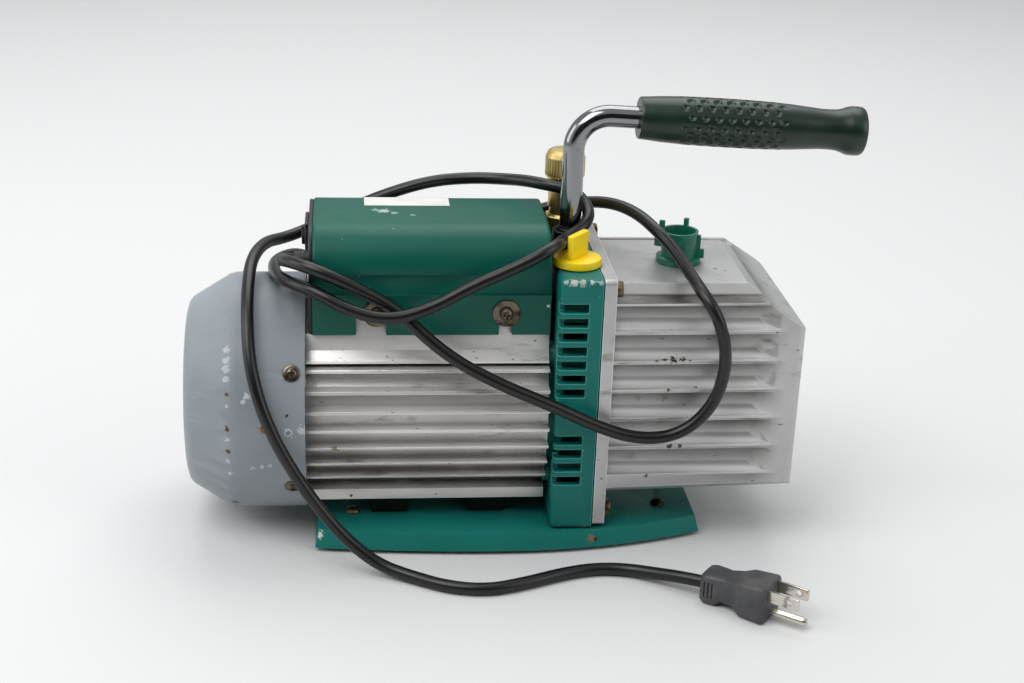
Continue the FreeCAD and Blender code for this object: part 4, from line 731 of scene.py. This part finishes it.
class PUMP_OT_cord(bpy.types.Operator):
    """Lay the mains cord, its plug and its gland"""
    bl_idname = "pump.cord"
    bl_label = "Mains cord"

    def execute(self, context):
        body = self.plug_body()
        contacts = self.contacts()
        cord = self.cord_line()
        finished(body, "plug_body")
        finished(contacts, "plug_contacts")
        finished(cord, "power_cord")
        finished(self.gland(), "cord_gland")
        return {"FINISHED"}

    def cord_line(self):
        line = bpy.data.curves.new("mains cord", "CURVE")
        line.dimensions = "3D"
        line.bevel_depth, line.bevel_resolution, line.use_fill_caps = CORD_D * MM / 2, 6, True
        spline = line.splines.new("NURBS")
        spline.points.add(len(CORD_ROUTE) - 1)
        for point, at in zip(spline.points, CORD_ROUTE):
            point.co = (at[0] * MM, at[1] * MM, at[2] * MM, 1.0)
        spline.order_u, spline.use_endpoint_u, spline.resolution_u = 3, True, 8
        cord = bpy.data.objects.new("mains cord", line)
        bpy.context.scene.collection.objects.link(cord)
        return cord

    def on_floor(self, obj):
        """From the plug's own frame, cord end at the origin and blades along +X."""
        return place(obj, CORD_ROUTE[-1], Matrix.Rotation(math.radians(PLUG_YAW), 4, "Z"))

    def plug_body(self):
        """Extruded from one face: collar, waist, then the deep front round the ground pin."""
        stations = [(3.0, 8.4, -8.4, 8.6), (9, 8.2, -8.2, 8.6), (12, 7.2, -5.6, 8.8), (19, 8.2, -5.6, 10.2),
                    (24, 10.4, -8.0, 11.8), (36.5, 11.2, -8.4, 12.6), (38, 10.6, -7.9, 12.0)]
        x0, w0, low0, high0 = 0.0, 7.2, -7.6, 8.0
        deselect()
        bpy.ops.mesh.primitive_plane_add(size=2.0, rotation=(0, math.radians(90), 0))
        body = bpy.context.object
        bpy.ops.object.transform_apply(location=False, rotation=True, scale=False)
        body.scale = (1, w0 * MM, (high0 - low0) / 2 * MM)
        body.location = (0, 0, (high0 + low0) / 2 * MM)
        bpy.ops.object.transform_apply(location=True, rotation=False, scale=True)
        edit(body)
        bpy.ops.mesh.select_all(action="SELECT")
        for x, w, low, high in stations:
            middle = (high + low) / 2
            bpy.ops.mesh.extrude_region_move(
                TRANSFORM_OT_translate={"value": ((x - x0) * MM, 0, (middle - (high0 + low0) / 2) * MM)})
            bpy.ops.transform.resize(value=(1, w / w0, (high - low) / (high0 - low0)),
                                     center_override=(x * MM, 0, middle * MM))
            x0, w0, low0, high0 = x, w, low, high
        bpy.ops.mesh.select_all(action="SELECT")
        bpy.ops.mesh.normals_make_consistent(inside=False)
        bpy.ops.object.mode_set(mode="OBJECT")
        body.name = "plug body"
        choose_edges(body, lambda a, b: abs(a.x - b.x) > 0.5)
        bpy.ops.mesh.bevel(offset=2.4 * MM, segments=4, affect="EDGES")
        bpy.ops.object.mode_set(mode="OBJECT")
        round_edges(body, 0.7 * MM, 3, 22)
        ribs = [slab("rib", (2.6 + 2.2 * k, -12, -4), (3.5 + 2.2 * k, 12, 5), 0.0) for k in range(3)]
        core = slab("core", (2.0, -7.5, -12), (10.0, 7.5, 12))
        for rib in ribs:
            apply_modifier(rib, "BOOLEAN", operation="DIFFERENCE", object=core, solver="EXACT")
        pick(core)
        bpy.ops.object.delete()
        cut_with(body, *ribs)
        return self.on_floor(smooth(body, 35))

    def contacts(self):
        blades = []
        for side in (-1, 1):
            y = side * 6.35
            blade = slab("blade", (PLUG_LENGTH - 1, y - 0.75, BLADE_UP - 3.18),
                         (PLUG_LENGTH + 17.5, y + 0.75, BLADE_UP + 3.18))
            choose_faces(blade, lambda c, n: n.x > 0.9)
            bpy.ops.mesh.inset(thickness=0.3 * MM, depth=0.0)
            bpy.ops.object.mode_set(mode="OBJECT")
            choose_edges(blade, lambda a, b: min(a.x, b.x) > PLUG_LENGTH + 17 and abs(a.y - b.y) > 0.5
                         and abs(a.z - BLADE_UP) > 3)
            bpy.ops.mesh.bevel(offset=1.1 * MM, segments=4, affect="EDGES")
            bpy.ops.object.mode_set(mode="OBJECT")
            hole = turned("hole", [(-9, 0), (-9, 1.6), (9, 1.6), (9, 0)], (PLUG_LENGTH + 12, y, BLADE_UP),
                          (0, 1, 0), 32)
            blades.append(round_edges(cut_with(blade, hole), 0.15 * MM, 2, 40))
        pin = turned("pin", [(-1, 0), (-1, 2.4), (17.5, 2.4), (19, 2.2), (20.2, 1.5), (20.8, 0)],
                     (PLUG_LENGTH, 0, BLADE_UP - 11.9), (1, 0, 0), 40)
        return self.on_floor(smooth(join("plug contacts", *blades, pin), 35))

    def gland(self):
        """Bushing whose nose narrows in rings towards the cord."""
        x, y, z = CORD_ROUTE[0]
        profile = [(0, CORD_D / 2 + 0.05), (0, 4.7)]
        for ring in range(3):
            step = 0.3 + ring * 1.9
            profile += [(step, 4.75 + ring * 0.25), (step + 1.1, 4.85 + ring * 0.25),
                        (step + 1.2, 4.4 + ring * 0.25),
                        (step + 1.8, 4.45 + ring * 0.25)]
        profile += [(6.2, 5.6), (6.3, 7.8), (6.6, 8.0), (8.0, 8.0), (8.0, 6.1), (13.5, 6.1),
                    (13.5, CORD_D / 2 + 0.05), (0, CORD_D / 2 + 0.05)]
        return smooth(turned("cord gland", profile, (x, y, z), (1, 0, 0), 48), 35)


class PUMP_OT_motor(bpy.types.Operator):
    """Make the finned motor, its rear bracket, the fan cover and their screws"""
    bl_idname = "pump.motor"
    bl_label = "Motor"

    def execute(self, context):
        finished(refined("motor_frame", 0.35 * MM, 2, 35), "motor_frame")
        finished(refined("fan_cover", sizes().sheet_edge, 2, 32), "fan_cover")
        finished(refined("rear_bracket", 0.4 * MM, 2, 35), "rear_bracket")
        head = cross_screw("fan screw", 3.3, 2.3)
        washer = turned("washer", [(-0.1, 0), (-0.1, 4.5), (0.45, 4.6), (0.6, 4.4), (0.6, 0)], sides=40)
        screw = join("fan cover screw", head, washer)
        made = []
        for angle in (30, 150, 210, 330):
            y, z = about_shaft(angle, 66.0)
            made.append(copy_of(screw, "fan cover screw", radial(angle), (-127.0, y, z)))
        pick(screw)
        bpy.ops.object.delete()
        finished(smooth(join("fan cover screws", *made), 40), "fan_cover_screws", "tarnished")
        return {"FINISHED"}


class PUMP_OT_box(bpy.types.Operator):
    """Make the electrical box with its end plates, switch, screws and washers"""
    bl_idname = "pump.box"
    bl_label = "Electrical box"

    def execute(self, context):
        finished(self.cover(), "box_cover")
        finished(refined("box_end_plates", 0.5 * MM, 2, 35), "box_end_plates")
        finished(refined("switch_bezel", 0.6 * MM, 3, 35), "switch_bezel")
        finished(refined("rocker_switch", 0.7 * MM, 3, 20), "rocker_switch")
        screw = cross_screw("box screw", 3.7, 3.6)
        washer = turned("box washer", [(0, 0), (0, 7.0), (0.4, 7.4), (1.0, 7.4), (1.2, 7.1), (1.2, 3.9),
                                       (1.0, 0)],
                        sides=48)
        screws, washers = [], []
        for x in (-82.0, -13.0):
            for side in (-1, 1):
                turn = Matrix.Rotation(math.radians(-90.0 * side), 4, "X")
                screws.append(copy_of(screw, "box screw", turn, (x, side * 45.6, 135.0)))
                washers.append(copy_of(washer, "box washer", turn, (x, side * 44.5, 135.0)))
        for made in (screw, washer):
            pick(made)
            bpy.ops.object.delete()
        finished(smooth(join("box screws", *screws), 40), "box_screws", "tarnished")
        finished(smooth(join("box washers", *washers), 30), "box_washers", "tarnished")
        return {"FINISHED"}

    def cover(self):
        """The cover's two ends are rolled over before its other edges are broken."""
        corner_y, corner_z, inner_r, skirt_z = 21.0, 156.0, 21.2, 145.5

        def on_end(point):
            off_x = min(abs(point.x - end) for end in BOX_ENDS)
            reach = math.hypot(max(0.0, abs(point.y) - corner_y), max(0.0, point.z - corner_z))
            return off_x < 0.05 and reach > inner_r and point.z > skirt_z

        cover = refined("box_cover", 0.0)
        edit(cover, "EDGE")
        choose_edges(cover, lambda a, b: on_end(a) and on_end(b))
        bpy.ops.mesh.bevel(offset=1.7 * MM, segments=4, affect="EDGES")
        bpy.ops.object.mode_set(mode="OBJECT")
        return smooth(round_edges(cover, sizes().sheet_edge, 2, 38), 35)


class PUMP_OT_bell(bpy.types.Operator):
    """Make the painted bell between motor and pump"""
    bl_idname = "pump.bell"
    bl_label = "Bell"

    def execute(self, context):
        finished(refined("end_bell", sizes().casting_edge, 3, 35), "end_bell")
        return {"FINISHED"}


class PUMP_OT_case(bpy.types.Operator):
    """Make the ribbed oil case with its bolts, exhaust port, sight glass and drain plug"""
    bl_idname = "pump.case"
    bl_label = "Oil case"

    def execute(self, context):
        finished(refined("oil_case", sizes().casting_edge, 3, 25, 25), "oil_case")
        finished(refined("exhaust_port", 0.35 * MM, 2, 35), "exhaust_port")
        finished(refined("sight_bezel", 0.4 * MM, 2, 35), "sight_bezel")
        finished(refined("drain_plug", 0.4 * MM, 2, 35), "drain_plug")
        bolt, made = hex_head("case bolt", 8.6, 4.1), []
        for z in (21.0, 150.5):
            for side in (-1, 1):
                turn = Matrix.Rotation(math.radians(90.0), 4, "Y")
                turn = turn @ Matrix.Rotation(math.radians(17.0 * side), 4, "Z")
                made.append(copy_of(bolt, "case bolt", turn, (44.1, side * 49.5, z)))
        pick(bolt)
        bpy.ops.object.delete()
        finished(join("case bolts", *made), "case_bolts")
        return {"FINISHED"}


class PUMP_OT_base(bpy.types.Operator):
    """Make the base tray and its screws"""
    bl_idname = "pump.base"
    bl_label = "Base tray"

    def execute(self, context):
        finished(refined("base_plate", 0.9 * MM, 3, 35), "base_plate")
        screw, made = cross_screw("base screw", 4.0, 2.4), []
        for x, y, up in ([(-95, s * 33.4, True) for s in (-1, 1)] + [(79.5, s * 28.6, True) for s in (-1, 1)]
                         + [(x, s * 29.0, False) for x in (-74, -20) for s in (-1, 1)]
                         + [(26, s * 30.0, False) for s in (-1, 1)]):
            turn = Matrix.Identity(4) if up else Matrix.Rotation(math.pi, 4, "X")
            made.append(copy_of(screw, "base screw", turn, (x, y, 12.0 if up else 10.0)))
        pick(screw)
        bpy.ops.object.delete()
        finished(smooth(join("base screws", *made), 40), "base_screws")
        return {"FINISHED"}


class PUMP_OT_knob(bpy.types.Operator):
    """Make the yellow ballast knob"""
    bl_idname = "pump.knob"
    bl_label = "Ballast knob"

    def execute(self, context):
        low, disc_t, radius = BELL_TOP_Z + 0.3, 4.5, 13.0
        disc = turned("ballast knob", [(0, 0), (0, radius - 0.8), (0.3, radius), (disc_t - 1.0, radius),
                                       (disc_t - 0.3, radius - 0.35), (disc_t, radius - 1.1), (disc_t, 0)],
                      (KNOB_X, KNOB_Y, low), sides=96)
        blade = slab("blade", (-8.8, -2.3, low + disc_t - 0.5), (8.8, 2.3, low + disc_t + 13.0))
        choose_edges(blade, lambda a, b: abs(a.z - b.z) > 5)
        bpy.ops.mesh.bevel(offset=1.5 * MM, segments=5, affect="EDGES")
        bpy.ops.object.mode_set(mode="OBJECT")
        choose_faces(blade, lambda c, n: n.z > 0.9)
        bpy.ops.transform.resize(value=(0.98, 0.86, 1), center_override=(0, 0, (low + disc_t + 13.0) * MM))
        bpy.ops.object.mode_set(mode="OBJECT")
        round_edges(blade, 0.7 * MM, 3, 40)
        place(blade, (KNOB_X, KNOB_Y, 0), Matrix.Rotation(math.radians(52), 4, "Z"))
        finished(smooth(join("ballast knob", disc, blade), 35), "ballast_knob")
        return {"FINISHED"}


class PUMP_OT_inlet(bpy.types.Operator):
    """Make the brass inlet and its knurled cap"""
    bl_idname = "pump.inlet"
    bl_label = "Inlet"

    def execute(self, context):
        at = (INLET_X, INLET_Y, 0)
        hexagon = turned("hexagon", [(158, 4.6), (158, 10.6), (158.5, 11.0), (166.4, 11.0), (167, 10.4),
                                     (167, 4.6),
                                     (158, 4.6)], at, sides=6)
        body = turned("inlet fitting", [(135, 4.5), (135, 7.0), (158, 7.0), (158, 8.6), (167, 9.0),
                                        (168, 8.2),
                                        (171, 8.0), (172, 9.0), (187, 9.0), (188, 7.9), (196, 7.9),
                                        (199, 5.0),
                                        (199, 4.5), (135, 4.5)], at)
        finished(smooth(join("inlet fitting", body, hexagon), 30), "inlet_fitting")
        cap = turned("inlet cap", [(188.4, 8.3), (188.4, 10.0), (190.0, 11.2), (190.6, 11.3), (200.2, 11.3),
                                   (201.0, 11.2), (203.6, 10.0), (204.7, 8.4), (205.0, 6.5), (205.0, 0),
                                   (202, 0),
                                   (202, 8.3), (188.4, 8.3)], at, sides=120)
        self.knurl(cap, at, 190.3, 200.6, 10.8)
        finished(smooth(cap, 22), "inlet_cap")
        return {"FINISHED"}

    def knurl(self, cap, at, low, high, radius):
        """Draws every third column of the cap's wall inwards."""
        count = 120
        edit(cap, "VERT")
        bpy.ops.object.mode_set(mode="OBJECT")
        for point in cap.data.vertices:
            x, y, z = point.co.x / MM - at[0], point.co.y / MM - at[1], point.co.z / MM
            column = round(math.degrees(math.atan2(y, x)) / (360 / count)) % 3
            point.select = low < z < high and math.hypot(x, y) > radius and column == 0
        bpy.ops.object.mode_set(mode="EDIT")
        bpy.ops.transform.resize(value=(0.955, 0.955, 1), center_override=(at[0] * MM, at[1] * MM, 0))
        bpy.ops.object.mode_set(mode="OBJECT")


class PUMP_OT_handle(bpy.types.Operator):
    """Make the bent handle rod, its lock nut and the dimpled grip"""
    bl_idname = "pump.handle"
    bl_label = "Handle"

    def execute(self, context):
        finished(self.rod(), "handle_rod")
        nut = turned("lock nut", [(158, 0), (158, 10.0), (158.5, 10.39), (167.5, 10.39), (168, 9.8),
                                  (168, 0)],
                     (HANDLE_X, 0, 0), sides=6)
        round_edges(nut, 0.3 * MM, 2)
        collar = turned("collar", [(167, 6.1), (167, 7.6), (168.6, 7.6), (169.0, 7.2), (169.6, 6.5),
                                   (170.2, 6.5),
                                   (170.4, 6.1), (167, 6.1)], (HANDLE_X, 0, 0))
        finished(smooth(join("handle lock nut", nut, collar), 35), "handle_lock_nut")
        finished(self.grip(), "handle_grip")
        return {"FINISHED"}

    def along(self):
        drop = math.radians(HANDLE_DROOP)
        return Vector((math.cos(drop), 0, -math.sin(drop)))

    def bend_end(self):
        turn = math.radians(90 + HANDLE_DROOP)
        return Vector((HANDLE_X + ROD_BEND_R * (1 - math.cos(turn)), 0,
                       HANDLE_TOP_Z - ROD_BEND_R * (1 - math.sin(turn))))

    def grip_start(self):
        end, along = self.bend_end(), self.along()
        return end + along * ((GRIP_START_X - end.x) / along.x)

    def rod(self):
        """A disc drawn up, spun round the bend and drawn out under the grip."""
        deselect()
        low = 140.0
        bpy.ops.mesh.primitive_circle_add(vertices=sizes().round_sides, radius=ROD_R * MM, fill_type="NGON",
                                          location=(HANDLE_X * MM, 0, low * MM))
        rod = bpy.context.object
        rod.name = "handle rod"
        bpy.ops.object.transform_apply(location=True, rotation=False, scale=False)
        bpy.ops.object.mode_set(mode="EDIT")
        bpy.ops.mesh.select_mode(type="FACE")
        bpy.ops.mesh.select_all(action="SELECT")
        bend_z = HANDLE_TOP_Z - ROD_BEND_R
        bpy.ops.mesh.extrude_region_move(TRANSFORM_OT_translate={"value": (0, 0, (bend_z - low) * MM)})
        bpy.ops.mesh.spin(steps=28, angle=-math.radians(90 + HANDLE_DROOP), axis=(0, 1, 0),
                          center=((HANDLE_X + ROD_BEND_R) * MM, 0, bend_z * MM))
        reach = (self.grip_start() - self.bend_end()).length + 117.0
        bpy.ops.mesh.extrude_region_move(TRANSFORM_OT_translate={"value": self.along() * reach * MM})
        bpy.ops.mesh.select_all(action="SELECT")
        bpy.ops.mesh.remove_doubles(threshold=0.005 * MM)
        bpy.ops.mesh.normals_make_consistent(inside=False)
        bpy.ops.object.mode_set(mode="OBJECT")
        return smooth(rod, 40)

    def grip(self):
        """A turned sleeve with a belt of round dimples."""
        profile = [(0, 6.1), (0, 11.0), (0.4, 11.35), (1.2, 11.5), (6.4, 11.9), (12, 12.4), (24, 13.0),
                   (42, 13.25),
                   (60, 13.2), (74, 12.9), (84, 12.4), (94, 11.6), (101, 11.05), (106, 11.0), (110, 11.2),
                   (113, 11.9), (115.5, 12.9), (117.5, 13.4), (121, 13.5), (123.5, 13.3), (124.6, 12.6),
                   (125, 11.6),
                   (125, 0), (117.5, 0), (117.5, 6.1), (0, 6.1)]
        sleeve = turned("handle grip", profile, sides=96)
        self.dimple(sleeve)
        turn = Vector((0, 0, 1)).rotation_difference(self.along()).to_matrix().to_4x4()
        return smooth(place(sleeve, self.grip_start(), turn), 40)

    def dimple(self, sleeve):
        """Takes sixteen rows of shallow balls, every second row half a pitch on, out of the sleeve."""
        pitch, ball_r, depth = sizes().dimple_pitch / MM, 3.45, 1.2
        rows, per_row, first, sleeve_r = 16, 8, 23.0, 13.1
        balls = []
        for row in range(rows):
            angle, reach = 2 * math.pi * row / rows, sleeve_r + ball_r - depth
            for k in range(per_row):
                balls.append((reach * math.cos(angle), reach * math.sin(angle),
                              first + pitch * (k + row % 2 / 2)))
        deselect()
        bpy.ops.mesh.primitive_uv_sphere_add(segments=20, ring_count=12, radius=ball_r * MM)
        ball = bpy.context.object
        made = [copy_of(ball, "ball", None, at) for at in balls]
        pick(ball)
        bpy.ops.object.delete()
        cut_with(sleeve, join("balls", *made))


class PUMP_PT_panel(bpy.types.Panel):
    """Lists the pump's pieces in the sidebar"""
    bl_label = "Vane pump"
    bl_idname = "PUMP_PT_panel"
    bl_space_type = "VIEW_3D"
    bl_region_type = "UI"
    bl_category = "Vane pump"

    def draw(self, context):
        for group in (context.scene.pump_sizes, context.scene.pump_colours):
            for name in group.bl_rna.properties.keys():
                if name not in ("rna_type", "name"):
                    self.layout.prop(group, name)
        for step in STEPS:
            self.layout.operator(step.bl_idname)


STEPS = (PUMP_OT_stage, PUMP_OT_finishes, PUMP_OT_cord, PUMP_OT_motor, PUMP_OT_box, PUMP_OT_bell,
         PUMP_OT_case,
         PUMP_OT_base, PUMP_OT_knob, PUMP_OT_inlet, PUMP_OT_handle)
CLASSES = (PumpSizes, PumpColours) + STEPS + (PUMP_PT_panel,)


def register():
    for item in CLASSES:
        bpy.utils.register_class(item)
    bpy.types.Scene.pump_sizes = bpy.props.PointerProperty(type=PumpSizes)
    bpy.types.Scene.pump_colours = bpy.props.PointerProperty(type=PumpColours)


def unregister():
    del bpy.types.Scene.pump_colours
    del bpy.types.Scene.pump_sizes
    for item in reversed(CLASSES):
        bpy.utils.unregister_class(item)


def main():
    register()
    for step in STEPS:
        group, name = step.bl_idname.split(".")
        getattr(getattr(bpy.ops, group), name)()
    deselect()


if __name__ == "__main__":
    main()
